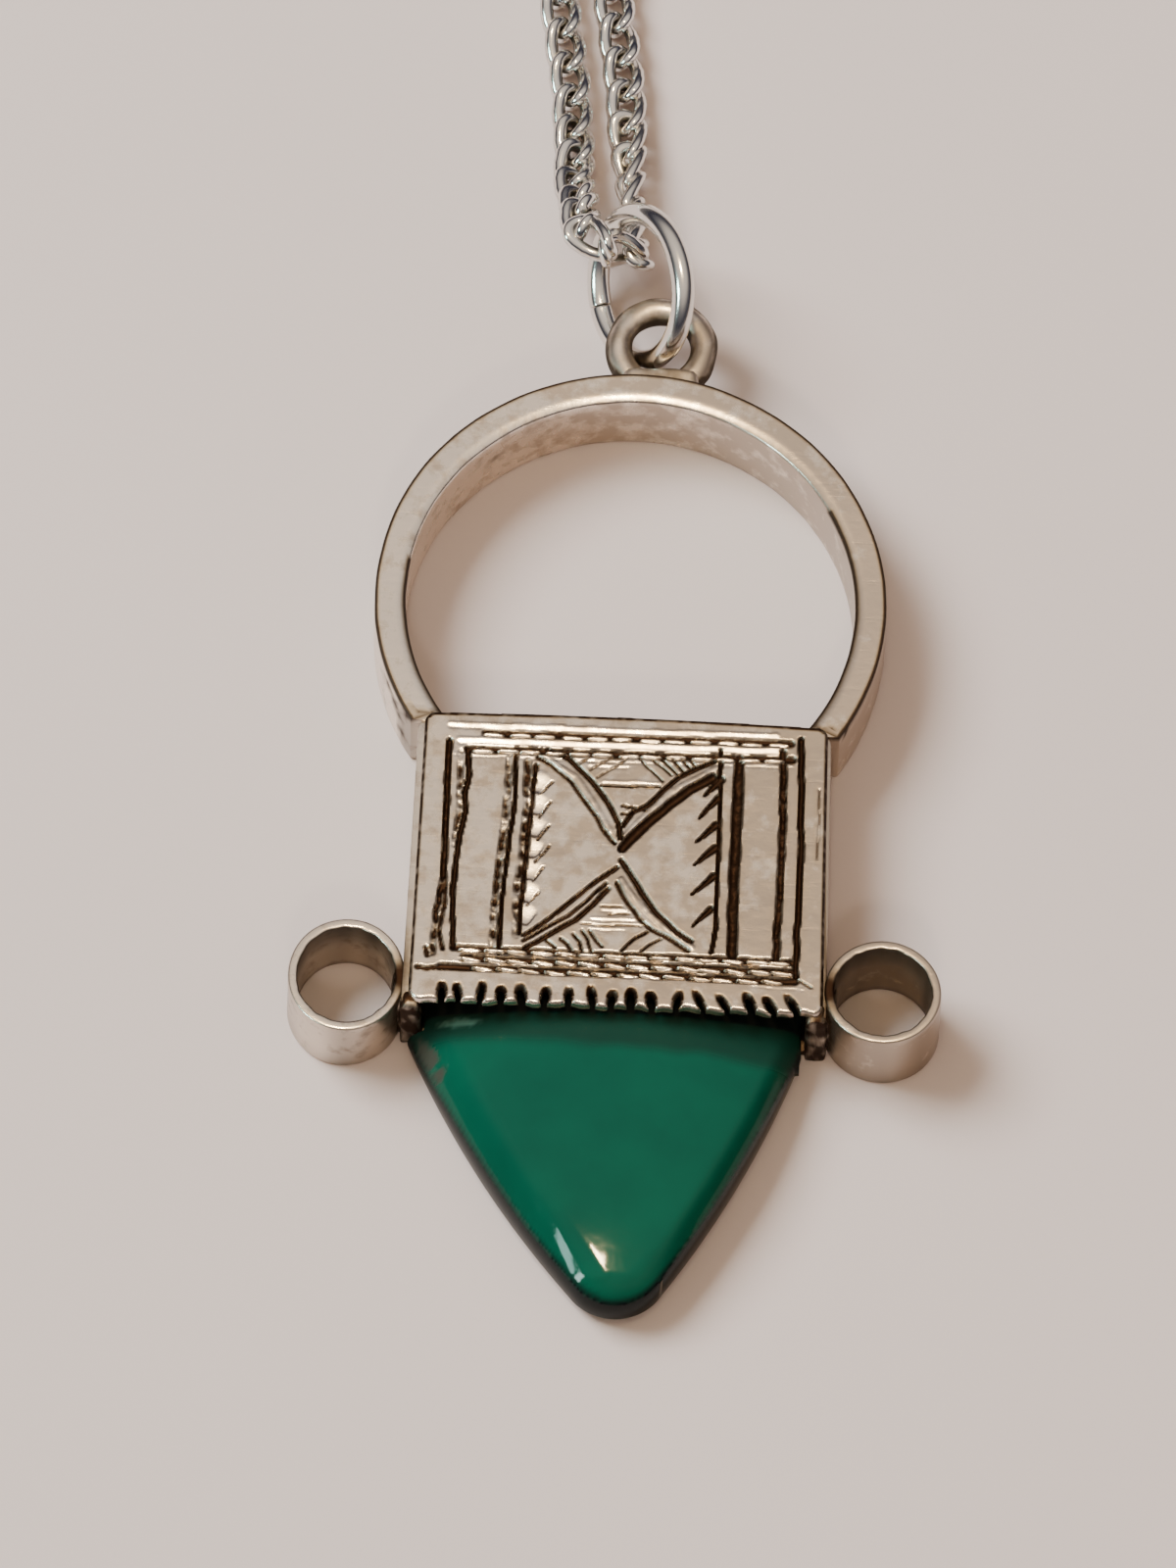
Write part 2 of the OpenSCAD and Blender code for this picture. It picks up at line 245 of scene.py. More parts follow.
# line of points, width, depth, how broken the cut is
CUTS = (
    (((-6.6, 6.74), (0, 6.77), (7.9, 6.84)), 0.42, 0.13, 0.2),
    (((-7.4, 5.88), (0, 5.9), (8.0, 5.98)), 0.42, 0.13, 0.15),
    (((-7.7, -4.62), (-4.5, -4.66), (0, -4.68), (8.3, -4.68)), 0.42, 0.14, 0.3),
    (((-7.2, -5.12), (0, -5.18), (8.4, -5.2)), 0.44, 0.15, 0.1),
    (((-8.3, -5.62), (0, -5.64), (8.5, -5.68)), 0.42, 0.15, 0.1),
    (((-9.35, -5.7), (-8.9, -5.75), (-8.3, -5.6), (-7.6, -5.62)), 0.26, 0.14, 0.1),
    (((-8.3, 6.25), (-8.33, 4), (-8.3, 1), (-8.3, -0.8)), 0.34, 0.2, 0.15),
    (((-8.3, -0.8), (-8.55, -2.5), (-8.68, -4.9)), 0.34, 0.15, 0.6),
    (((-8.2, -0.9), (-8.2, -2.4), (-8.4, -3.6), (-8.2, -4.7)), 0.22, 0.13, 0.4),
    (((-7.4, 5.9), (-7.28, 4.6), (-7.45, 3.6), (-7.4, 2.6), (-7.6, 1.4), (-7.75, 0),
      (-7.85, -1.5), (-7.8, -3), (-7.7, -4.6)), 0.28, 0.19, 0.1),
    (((-7.72, 5.7), (-7.7, 2.5), (-7.85, 0.8)), 0.34, 0.09, 0.8),
    (((-5.12, 5.6), (-5.08, 3.5), (-5.22, 1.5), (-5.35, 0), (-5.5, -2), (-5.5, -3.5),
      (-5.55, -4.8)), 0.22, 0.18, 0.1),
    (((-5.42, 5.5), (-5.48, 2.5), (-5.72, 0), (-5.85, -2.5), (-5.85, -4.7)), 0.36, 0.11, 0.75),
    (((-4.55, 5.3), (-4.5, 3), (-4.6, 0.5), (-4.8, -1.5), (-4.75, -3.8)), 0.44, 0.1, 0.7),
    (((-4.15, 5.15), (-4.25, 3.5), (-4.35, 2), (-4.45, 0.3), (-4.52, -1.2), (-4.6, -2.5),
      (-4.6, -3.7)), 0.24, 0.17, 0.3),
    (((8.38, 7.05), (8.45, 5), (8.5, 3), (8.6, 1.5), (8.55, 0), (8.55, -2), (8.5, -4.8),
      (8.55, -5.4)), 0.32, 0.2, 0.05),
    (((7.58, 6.35), (7.62, 4.5), (7.65, 3), (7.65, 1), (7.65, -1), (7.6, -2.5),
      (7.6, -4.6)), 0.38, 0.18, 0.45),
    (((5.5, 5.95), (5.48, 3), (5.45, 0), (5.45, -2), (5.5, -4.4)), 0.54, 0.19, 0.2),
    (((4.6, 6.3), (4.6, 5), (4.68, 3), (4.68, 1), (4.65, -1), (4.7, -3),
      (4.5, -4.3)), 0.22, 0.18, 0.05),
    (((9.33, 4.5), (9.38, 2), (9.35, 0.8)), 0.08, 0.05, 0.2),
    (((-3.6, 6.0), (-2.6, 5.6), (-2, 5), (-1.4, 4.4), (-0.9, 3.7), (-0.5, 3), (-0.12, 2.3),
      (0, 1.5)), 0.28, 0.18, 0.1),
    (((-4.1, 5.55), (-3.4, 5.2), (-2.5, 4.4), (-1.8, 3.4), (-1.2, 2.6), (-0.9, 2),
      (-0.3, 1.2)), 0.2, 0.15, 0.25),
    (((-0.1, -0.05), (-1, -0.75), (-1.8, -1.5), (-2.6, -2.3), (-3.6, -3.2),
      (-4.4, -3.8)), 0.22, 0.17, 0.2),
    (((-0.6, -0.9), (-1.5, -1.9), (-2.4, -2.75), (-3.4, -3.4), (-4.4, -4.1)), 0.18, 0.14, 0.25),
    (((-0.5, -1.2), (-1.2, -2.1), (-2, -2.9), (-3, -3.6), (-4.3, -4.5)), 0.26, 0.17, 0.15),
    (((0.1, 2.15), (0.5, 2.9), (1.2, 3.3), (2, 4.15), (2.6, 4.8), (3.4, 5.3),
      (4.5, 5.85)), 0.24, 0.18, 0.1),
    (((0.1, 0.95), (0.6, 1.6), (1.3, 2.4), (2.2, 3.3), (3.2, 4.2), (4.3, 4.9)), 0.5, 0.2, 0.05),
    (((0.1, 0.3), (0.5, -0.3), (0.9, -0.95), (1.4, -1.75), (2, -2.5), (2.8, -3.3),
      (3.5, -3.75)), 0.3, 0.18, 0.1),
    (((-0.1, -0.9), (0.4, -1.8), (1, -2.65), (1.6, -3.2), (2.3, -3.55),
      (3.4, -4.3)), 0.22, 0.16, 0.2),
    (((-1, 4.25), (0, 4.22), (1.75, 4.25)), 0.13, 0.12, 0.1),
    (((-1.7, -3.08), (0, -3.12), (1.2, -3.1)), 0.08, 0.06, 0.2),
    (((1.45, -3.35), (0.85, -3.75), (0.25, -4.4)), 0.15, 0.13, 0.1),
    (((2.1, -3.7), (1.6, -4.0), (1.2, -4.4)), 0.12, 0.11, 0.1),
    (((-2.65, -3.95), (-2.35, -4.15), (-2.15, -4.45)), 0.2, 0.14, 0.1),
    (((-2.05, -3.65), (-1.75, -4.0), (-1.6, -4.5)), 0.17, 0.13, 0.1),
    (((-1.65, -3.45), (-1.35, -3.9), (-1.15, -4.5)), 0.15, 0.12, 0.1),
    (((-1.3, -3.45), (-0.95, -3.9), (-0.65, -4.25)), 0.17, 0.12, 0.1),
)
# straight cuts: the ends, width, depth, how broken the cut is
STRAIGHT_CUTS = (
    (-9.0, -4.65, -8.9, -5.05, 0.24, 0.13, 0), (8.5, -5.5, 9.3, -5.95, 0.12, 0.08, 0.2),
    (0.5, 5.95, 1.9, 4.55, 0.1, 0.1, 0.1), (1.05, 6.0, 2.3, 4.9, 0.1, 0.1, 0.1),
    (1.6, 5.95, 2.55, 5.0, 0.13, 0.12, 0.1), (2.15, 5.95, 2.9, 5.1, 0.14, 0.12, 0.1),
    (2.6, 5.95, 3.2, 5.3, 0.14, 0.12, 0.1), (3.0, 5.95, 3.45, 5.45, 0.12, 0.1, 0.1),
    (-1.6, 5.0, -0.6, 5.75, 0.09, 0.07, 0.2), (-1.2, 4.65, 0.1, 5.65, 0.09, 0.07, 0.2),
    (-2.1, 5.35, -1.5, 5.8, 0.09, 0.08, 0.2), (0, 3.2, 1.1, 3.05, 0.14, 0.13, 0.1),
    (0, 2.8, 0.4, 2.75, 0.12, 0.12, 0.1), (-0.8, -2.12, 0.2, -2.15, 0.09, 0.07, 0.2),
    (-0.4, -2.52, 0.55, -2.5, 0.08, 0.07, 0.2), (-3.3, -4.05, -2.9, -4.4, 0.2, 0.13, 0.2),
)
# slanting nicks: one end, the other end, width there and width here, depth
NICKS = (
    ((4.65, 4.8), (3.88, 3.92), 0.46, 0.12, 0.17), ((4.55, 3.85), (3.7, 2.72), 0.4, 0.12, 0.17),
    ((4.5, 2.4), (3.58, 1.48), 0.42, 0.12, 0.17), ((4.5, 1.2), (3.55, 0.22), 0.42, 0.12, 0.17),
    ((4.45, -0.3), (3.48, -1.35), 0.4, 0.12, 0.17), ((4.4, -2.05), (3.58, -2.95), 0.36, 0.12, 0.17),
    ((-3.35, 4.32), (-3.86, 3.62), 0.1, 0.08, 0.1), ((-3.36, 3.25), (-3.9, 2.42), 0.1, 0.08, 0.1),
    ((-3.42, 2.0), (-3.96, 1.18), 0.1, 0.08, 0.1), ((-3.34, 0.92), (-4.0, 0.03), 0.1, 0.08, 0.1),
    ((-3.6, -0.22), (-4.1, -0.98), 0.1, 0.08, 0.09),
    ((-3.76, -1.48), (-4.3, -2.28), 0.08, 0.07, 0.08),
)
# rows of raised beads left standing in the border cuts: height, ends, pitch, half length,
# width and how much lower their right ends lie
BEADS = (
    ((6.67, 6.75), -6.2, 7.6, 1.23, 0.44, 0.3, 0), ((5.82, 5.9), -6.7, 7.7, 1.15, 0.44, 0.3, 0),
    ((-4.68, -4.74), -6.9, 7.9, 1.13, 0.46, 0.28, 0.04),
    ((-5.18, -5.26), -6.9, 8.0, 1.14, 0.47, 0.3, 0.1),
    ((-5.66, -5.74), -6.3, 8.2, 1.14, 0.47, 0.28, 0.1),
)
# long facets that tip towards the pendant's foot and shine: line of points and width
FACETS = (
    (((-8.3, 7.1), (0, 7.12), (7.2, 7.16)), 0.38), (((-7.8, 6.3), (0, 6.33), (7.6, 6.4)), 0.42),
    (((-8.0, 5.55), (0, 5.5), (8, 5.6)), 0.2), (((-7.0, -4.9), (0, -4.95), (8.0, -5.0)), 0.2),
    (((6.5, -5.98), (8.9, -6.1)), 0.16), (((-0.9, 4.4), (1.7, 4.4)), 0.26),
    (((-0.7, -2.32), (0.4, -2.34)), 0.22), (((-1.2, -2.8), (0.8, -2.82)), 0.26),
    (((-1.3, -3.3), (0.3, -3.35)), 0.2), (((-2.3, 5.6), (-1.4, 5.6)), 0.3),
    (((-1.6, 5.25), (0.2, 5.25)), 0.24),
)
# ridges pushed up by the graver: line of points, width and height
RIDGES = (
    (((-3.8, 5.65), (-2.2, 4.6), (-1.35, 3.3), (-0.5, 1.9)), 0.3, 0.03),
    (((0.2, 1.6), (1.2, 2.85), (2.3, 4.05), (4.4, 5.4)), 0.3, 0.03),
    (((0.1, -0.7), (1, -1.9), (2.2, -3.1), (3.6, -4.1)), 0.3, 0.04),
)
# the shallow scoops beside the left inner line: heights of their middles along the panel
SCALLOPS = (4.35, 3.25, 2.1, 0.95, -0.2, -1.4, -2.55)
SCALLOP_LINE = 4.35
SCALLOP_LEAN = 0.055
SCALLOP_HALF_W = 0.56
SCALLOP_HALF_H = 0.64
SCALLOP_SLOPE = 0.19
FACET_SLOPE = 0.28
FACET_FLATNESS = 0.4
GRAVER_WOBBLE = 0.05
CUT_GAIN = 1.35
RIDGE_GAIN = 1.3
HAMMER_MARKS = ((0.018, 2.6, 1.3), (0.006, 0.7, 9.9))
GRIME_REACH = 0.28
GRIME_SHARE = 0.25
RIM_LINE_W = 0.2
TOP_RIM_LINE_W = 0.3
TOP_RIM_Y = 7.4
CLEAN_LIP_Y = -6.9


def segment_place(x, y, start, end):
    """How far along a straight cut each place lies, from 0 to 1, and how far from it."""
    run = np.subtract(end, start)
    along = ((x - start[0]) * run[0] + (y - start[1]) * run[1]) / (run @ run)
    along = along.clip(0, 1)
    return along, np.hypot(x - start[0] - along * run[0], y - start[1] - along * run[1])


def line_distance(x, y, line):
    """The distance from each place to a line of points."""
    return np.min([segment_place(x, y, a, b)[1] for a, b in zip(line, line[1:])], axis=0)


def groove(distance, width):
    """The rounded profile of a cut, 1 in its middle and 0 at its edges."""
    return (1 - (2 * distance / width) ** 2).clip(0, 1) ** 0.7


def drift(x, y, scale, seed):
    """A smooth random value from about -1 to 1 at each place."""
    return np.array([noise.noise(spot) for spot in np.broadcast(x / scale, y / scale, seed)])


def rounded_corner(first, second, radius):
    """The distance inside two edges that meet in a round corner."""
    near = (first < radius) & (second < radius)
    return np.where(near, radius - np.hypot(radius - first, radius - second),
                    np.minimum(first, second))


def plate_inside(x, y):
    """How far each place lies inside the plate's outline with its notches."""
    half_w = (PLATE_TOP_W + (PLATE_LOW_W - PLATE_TOP_W) * (PLATE_HALF_H - y)
              / (2 * PLATE_HALF_H)) / 2
    side = np.minimum(half_w - x, half_w - LEFT_INSET + x)
    top = PLATE_HALF_H + TOP_LAP + PLATE_RISE * (1 - (2 * x / PLATE_TOP_W) ** 2) - y
    depth = rounded_corner(side, top, CORNER_R)
    lip = sum((high * np.sin(often * x + start) for high, often, start in LIP_WAVES), LIP_Y)
    depth = rounded_corner(depth, y - lip, CORNER_R)
    # the notches lean and differ a little from one to the next
    for k, middle in enumerate(NOTCHES):
        lean = 0.14 * math.sin(2.1 * k) + (0.45 if middle > 3.5 else 0)
        half_w = NOTCH_HALF_W * (1 + 0.2 * math.sin(5.1 * k))
        u = (x - middle + lean * (y - LIP_Y)) / half_w
        v = (y - LIP_Y - NOTCH_MID) / (NOTCH_L * (1 + 0.15 * math.sin(3.7 * k)))
        reach = np.hypot(u, v)
        slope = np.hypot(u / half_w, v / NOTCH_L) / np.maximum(reach, 1e-6)
        depth = np.minimum(depth, (reach - 1) / np.maximum(slope, 1e-6))
    return depth


def trimmed_sheet(size, middle, cell, inside):
    """A flat grid cut to an outline, with its rim drawn onto the outline."""
    bm = bmesh.new()
    counts = [round(s / cell) for s in size]
    bmesh.ops.create_grid(bm, x_segments=counts[0], y_segments=counts[1], size=0.5)
    bmesh.ops.scale(bm, vec=(size[0], size[1], 1), verts=bm.verts)
    shift(bm, (middle[0], middle[1], 0))
    centres = np.array([f.calc_center_median()[:2] for f in bm.faces])
    outside = inside(centres[:, 0], centres[:, 1]) < 0
    spare = [f for f, out in zip(bm.faces, outside) if out]
    bmesh.ops.delete(bm, geom=spare, context="FACES")
    rim = [v for v in bm.verts if v.is_boundary]
    step = cell / 20
    x, y = np.array([v.co[:2] for v in rim]).T
    for _ in range(3):
        depth = inside(x, y)
        slope_x = (inside(x + step, y) - inside(x - step, y)) / (2 * step)
        slope_y = (inside(x, y + step) - inside(x, y - step)) / (2 * step)
        steep = np.maximum(slope_x ** 2 + slope_y ** 2, 0.5)
        x = x - depth * slope_x / steep
        y = y - depth * slope_y / steep
    for v, px, py in zip(rim, x, y):
        v.co.x, v.co.y = px, py
    return bm


def set_heights(drawn, z):
    """Brings the vertices of what was just drawn out to one height."""
    for v in drawn:
        if isinstance(v, bmesh.types.BMVert):
            v.co.z = z


def face_outwards(bm):
    """Turns the faces of a closed mesh outwards."""
    bmesh.ops.recalc_face_normals(bm, faces=bm.faces)


def close_below(bm, low_z):
    """Draws the rim of a sheet down to a flat underside and closes it."""
    rim = [e for e in bm.edges if e.is_boundary]
    drawn = bmesh.ops.extrude_edge_only(bm, edges=rim)["geom"]
    set_heights(drawn, low_z)
    low = [e for e in drawn if isinstance(e, bmesh.types.BMEdge) and e.is_boundary]
    bmesh.ops.holes_fill(bm, edges=low, sides=0)
    face_outwards(bm)


def round_edge(depth, width, drop):
    """How far a rounded edge drops at a distance inside the outline."""
    return drop * (1 - np.sqrt(1 - (1 - depth.clip(0, width) / width) ** 2))


def fade(values, none, full):
    """Rises from 0 where a value is none to 1 where it is full."""
    return ((values - none) / (full - none)).clip(0, 1)


def paint(bm, name, values):
    """Keeps a value for each vertex, which the material reads by its name."""
    layer = bm.verts.layers.float.new(name)
    for v, value in zip(bm.verts, values):
        v[layer] = value


def places(bm):
    """The x, y and z of every vertex, as three rows."""
    return np.array([v.co for v in bm.verts]).T


plate_size = (PLATE_LOW_W + 0.2, 2 * PLATE_HALF_H + 0.9)
plate = trimmed_sheet(plate_size, (0, 0.1), PLATE_CELL, plate_inside)
x, y, _ = places(plate)
wobble_x = x + GRAVER_WOBBLE * drift(x, y, 0.9, 3.1)
wobble_y = y + GRAVER_WOBBLE * drift(x, y, 0.9, 7.7)
break_up = drift(x, y, 0.35, 12.3)
fine_break = drift(x, y, 0.14, 5.9)
cut = np.zeros(len(x))
grime = np.zeros(len(x))
straight = [((row[:2], row[2:4]), *row[4:]) for row in STRAIGHT_CUTS]
for line, width, depth, broken in (*CUTS, *straight):
    away = line_distance(wobble_x, wobble_y, line)
    grime = np.maximum(grime, fade(away / (width / 2 + GRIME_REACH), 1.2, 0.2))
    near = groove(away, width)
    torn = (1 - broken * (0.5 + 1.3 * break_up + 0.5 * fine_break)).clip(0.1, 1.15)
    cut = np.maximum(cut, near * depth * torn)
for start, end, wide, narrow, depth in NICKS:
    along, away = segment_place(wobble_x, wobble_y, start, end)
    cut = np.maximum(cut, depth * groove(away, wide + (narrow - wide) * along))
tipped = np.zeros(len(x))
for line, width in FACETS:
    near = groove(line_distance(wobble_x, wobble_y, line), width)
    middle = np.interp(wobble_x, *np.transpose(line))
    tipped += near ** FACET_FLATNESS * FACET_SLOPE * (wobble_y - middle)
for (left_y, right_y), first, last, pitch, half_l, width, slant in BEADS:
    for k in range(int((last - first) / pitch) + 1):
        bead_x = first + k * pitch + 0.06 * math.sin(2.3 * k)
        bead_y = left_y + (right_y - left_y) * (bead_x - first) / (last - first)
        bead_y += 0.02 * math.sin(1.7 * k)
        bead = ((bead_x - half_l, bead_y + slant / 2), (bead_x + half_l, bead_y - slant / 2))
        along, away = segment_place(wobble_x, wobble_y, *bead)
        near = groove(away, width * (0.55 + 1.8 * along * (1 - along)))
        cut *= 1 - near
        tipped += near ** FACET_FLATNESS * FACET_SLOPE * (wobble_y - bead_y)
raised = np.zeros(len(x))
for line, width, height in RIDGES:
    away = line_distance(wobble_x, wobble_y, line)
    raised = np.maximum(raised, height * groove(away, width) * (1 + 0.5 * break_up))
for middle in SCALLOPS:
    across = wobble_x + SCALLOP_LINE + SCALLOP_LEAN * (SCALLOPS[0] - middle)
    rise = wobble_y - middle
    bowl = 1 - ((across - 0.4) / SCALLOP_HALF_W) ** 2 - ((rise + 0.1) / SCALLOP_HALF_H) ** 2
    bowl = bowl.clip(0, 1)
    # the nick above cuts the scoop off along a slant
    bowl *= rise + 0.73 > 1.37 * (across - 0.49)
    tipped += bowl ** 0.35 * SCALLOP_SLOPE * (rise - 0.2)
depth = plate_inside(x, y)
hammered = sum(high * drift(x, y, wide, seed) for high, wide, seed in HAMMER_MARKS)
height = (PLATE_TOP_Z - PLATE_EDGE_R / 6 - CUT_GAIN * cut
          + RIDGE_GAIN * raised * (cut < 0.05) + tipped + hammered
          - round_edge(depth, PLATE_EDGE_R, PLATE_EDGE_R))
for v, z in zip(plate.verts, height):
    v.co.z = z
stain = (cut / 0.05 - 0.45 + 0.5 * fine_break + 0.3 * break_up).clip(0, 1)
rim_w = np.where(y > TOP_RIM_Y, TOP_RIM_LINE_W, RIM_LINE_W)
rim_stain = fade(depth, rim_w, rim_w - 0.08) * (1 + 0.5 * break_up).clip(0, 1)
rim_stain *= y > CLEAN_LIP_Y
grime *= GRIME_SHARE * (0.9 + break_up).clip(0, 1) * (raised < 0.02) * (abs(tipped) < 0.005)
paint(plate, "oxide_and_shade", np.max([stain, rim_stain, grime], axis=0))
close_below(plate, PLATE_TOP_Z - PLATE_T)

# Aged silver: dull and warm, clouded with tarnish, faintly scratched, near black in its cuts.
# Its right side is painted darker, as shade.
RIGHTWARD_SHADE = 12
OXIDE_AND_SHADE_ROUGH = 0.3
BROWN_OXIDE_AND_SHADE = (0.035, 0.019, 0.013, 1)


def add_share(tree, value, share, base):
    """A share of one value on top of another."""
    return add_node(tree, "ShaderNodeMath", {0: value, 1: share, 2: base},
                    operation="MULTIPLY_ADD").outputs["Value"]


grain = bpy.data.node_groups.new("handworked_silver", "ShaderNodeTree")
for socket, way in (("Cloud Scale", "INPUT"), ("Scratch Scale", "INPUT"),
                    ("Tarnish And Shade", "OUTPUT"), ("Height", "OUTPUT")):
    grain.interface.new_socket(socket, in_out=way, socket_type="NodeSocketFloat")
group_in = add_node(grain, "NodeGroupInput")
place = add_node(grain, "ShaderNodeTexCoord").outputs["Object"]
cloud = add_node(grain, "ShaderNodeTexNoise", {
    "Vector": place, "Scale": group_in.outputs["Cloud Scale"], "Detail": 5, "Roughness": 0.6})
# painted shade: the tarnish clouds spread further towards the right, so the silver's right side is
# darker
rightward = add_node(grain, "ShaderNodeSeparateXYZ", {"Vector": place}).outputs["X"]
cloud = add_share(grain, rightward, RIGHTWARD_SHADE, cloud.outputs["Fac"])
clouded = add_ramp(grain, cloud, ((0.38, 0), (0.56, 1)))
skewed = add_node(grain, "ShaderNodeMapping", {
    "Vector": place, "Rotation": (0.2, 0.1, 0.7), "Scale": (1, 9, 3)}).outputs["Vector"]
scratch = add_node(grain, "ShaderNodeTexNoise", {
    "Vector": skewed, "Scale": group_in.outputs["Scratch Scale"], "Detail": 3, "Roughness": 0.7})
scratched = add_ramp(grain, scratch.outputs["Fac"], ((0.56, 0), (0.68, 1)))
pits = add_node(grain, "ShaderNodeTexNoise", {"Vector": place, "Scale": 2600, "Detail": 3})
relief = add_share(grain, scratched, -0.25, pits.outputs["Fac"])
set_inputs(grain, add_node(grain, "NodeGroupOutput"), {"Tarnish And Shade": clouded, "Height": relief})


def painted(tree, name):
    """The value that was painted on a piece's vertices."""
    return add_node(tree, "ShaderNodeAttribute", attribute_name=name).outputs["Fac"]


def silver_finish(name, bright, dull, gloss=(0.24, 0.31), oxide_and_shade_tone=BROWN_OXIDE_AND_SHADE,
                  relief_depth=0.02, scales=(1000, 300)):
    """Silver, clouded and scratched, dark brown where its mask of oxidation and painted shade says.
    """
    finish, tree, shader = new_finish(name)
    worked = add_node(tree, "ShaderNodeGroup", {"Cloud Scale": scales[0], "Scratch Scale": scales[1]},
                      node_tree=grain)
    tarnish_and_shade = worked.outputs["Tarnish And Shade"]
    # the painted mask holds real oxide and also painted shade, and both are mixed in as the dark
    # brown
    oxide_and_shade = painted(tree, "oxide_and_shade")
    metal = blend_colours(tree, tarnish_and_shade, bright, dull)
    metal = blend_colours(tree, oxide_and_shade, metal, oxide_and_shade_tone)
    rough = add_share(tree, oxide_and_shade, OXIDE_AND_SHADE_ROUGH, add_spread(tree, tarnish_and_shade, *gloss))
    set_inputs(tree, shader, {"Base Color": metal, "Roughness": rough, "Metallic": 1})
    add_bump(tree, shader, worked.outputs["Height"], 0.5, relief_depth)
    return finish


aged_silver = silver_finish("aged_silver", (0.86, 0.76, 0.66, 1), (0.5, 0.42, 0.35, 1))
finish_piece(plate, "engraved_plate", aged_silver, "aged_silver", "pendant_frame", sharp=60)


# Box behind the plate
# The plate stands on a bent silver strip that makes the side and top walls, and a thin back
# sheet closes it. The lower edge is open, where the stone's back goes in. The walls are darker
# along that edge, and painted with shade beside the tubes, in the gap where they were soldered on.

BOX_WALL = 0.9
BACK_T = 0.5
WALL_SHOWS = 0.16
BOX_EDGE_R = 0.06
LONG_EDGE = 5
WALL_CUTS = 23
TUBE_GAP_SHADE_Y = -5.3
TUBE_GAP_SHADE = 0.8
DARK_LINE = 0.95

half_top = PLATE_TOP_W / 2 + WALL_SHOWS
half_low = PLATE_LOW_W / 2 + WALL_SHOWS
outer = ((-half_low, LIP_Y), (-half_top, PLATE_HALF_H),
         (half_top, PLATE_HALF_H), (half_low, LIP_Y))
inner = ((half_low - BOX_WALL, LIP_Y), (half_top - BOX_WALL, PLATE_HALF_H - BOX_WALL),
         (BOX_WALL - half_top, PLATE_HALF_H - BOX_WALL), (BOX_WALL - half_low, LIP_Y))


def add_part(bm, part):
    """Adds a finished part to a piece."""
    held = bpy.data.meshes.new("part")
    part.to_mesh(held)
    part.free()
    bm.from_mesh(held)
    bpy.data.meshes.remove(held)


def round_off(bm, parts, radius, steps, affect="EDGES"):
    """Rounds some edges or corners to a radius."""
    bmesh.ops.bevel(bm, geom=parts, offset=radius, offset_type="OFFSET", segments=steps,
                    profile=0.5, affect=affect, material=-1)


def add_slab(bm, outline, low_z, high_z):
    """Adds a flat plate of an outline, with its upper corners rounded and its edges eased."""
    part = bmesh.new()
    face = part.faces.new([part.verts.new((*p, low_z)) for p in outline])
    round_off(part, list(face.verts)[1:3], CORNER_R, 5, "VERTICES")
    drawn = bmesh.ops.extrude_face_region(part, geom=list(part.faces))["geom"]
    set_heights(drawn, high_z)
    face_outwards(part)
    rim = [e for e in part.edges if e.calc_face_angle(0) > math.radians(50)]
    round_off(part, rim, BOX_EDGE_R, 2)
    add_part(bm, part)


box = bmesh.new()
add_slab(box, outer + inner, BACK_T, PLATE_TOP_Z - PLATE_T)
add_slab(box, outer, 0, BACK_T)
long = [e for e in box.edges if e.calc_length() > LONG_EDGE]
bmesh.ops.subdivide_edges(box, edges=long, cuts=WALL_CUTS, use_grid_fill=True)
x, y, _ = places(box)
# darker towards the open lower edge, and painted shade on the side walls in the gap beside each tube
low_edge = fade(y, CLEAN_LIP_Y, CLEAN_LIP_Y - 0.3).clip(0, DARK_LINE)
beside_tubes = TUBE_GAP_SHADE * fade(abs(y - TUBE_GAP_SHADE_Y), 2.8, 0.8) * (abs(x) > half_low - 0.5)
paint(box, "oxide_and_shade", np.maximum(low_edge, beside_tubes))
finish_piece(box, "box", aged_silver, "aged_silver", "pendant_frame")


# Hoop
# A strip of silver of oblong section, bent to a round and filed smooth. Its ends are soldered
# to the box's top wall. It has a few pits on its inner face and dark lines along its edges.
# Shade is painted as dark spots and a dark patch outside its left end, and on its inner face,
# more towards the right.

HOOP_R = 12.2
HOOP_W = 1.5
HOOP_D = 4.3
HOOP_MID = Vector((0, 14.15, 0))
HOOP_END_Y = 7.45
HOOP_STEPS = 220
HOOP_EDGE_R = 0.12
INNER_BEVEL_W = 0.4
INNER_BEVEL_D = 0.13
FACE_CUTS = 9
# the swells that the hammer left, outwards and on top, and the smaller ripples
HOOP_SWELL = 0.05
HOOP_TOP_SWELL = 0.06
HOOP_RIPPLE = 0.02
# pits on the inner face, and spots of painted shade outside the left end: their places and radii
PITS_AND_SHADE_SPOTS = ((-7.2, 21.6, 3.0, 0.35), (-6.6, 22.3, 2.4, 0.28), (9.9, 17.6, 3.2, 0.22),
        (-11.3, 9.7, 3.3, 0.4), (-11.0, 8.9, 3.0, 0.5), (-10.8, 8.4, 2.6, 0.5),
        (-10.6, 8.2, 1.4, 0.5))
FOOT_LINE_Y = 7.85
EDGE_LINE_W = 0.24
EDGE_LINE_D = 0.28
# how far up the inner edge's line goes, left and right
INNER_LINE_ENDS = (16, 19.5)
LEFT_END_SHADE = 0.55
INNER_FACE_SHADE = 0.09


def spin_about(bm, axis, steps, angle=2 * math.pi):
    """Spins a line of edges about an axis through the origin, closed where the turn is full."""
    bmesh.ops.spin(bm, geom=list(bm.verts) + list(bm.edges), cent=(0, 0, 0), axis=axis,
                   dvec=(0, 0, 0), angle=angle, steps=steps,
                   use_merge=angle == 2 * math.pi,
                   use_normal_flip=False, use_duplicate=False)


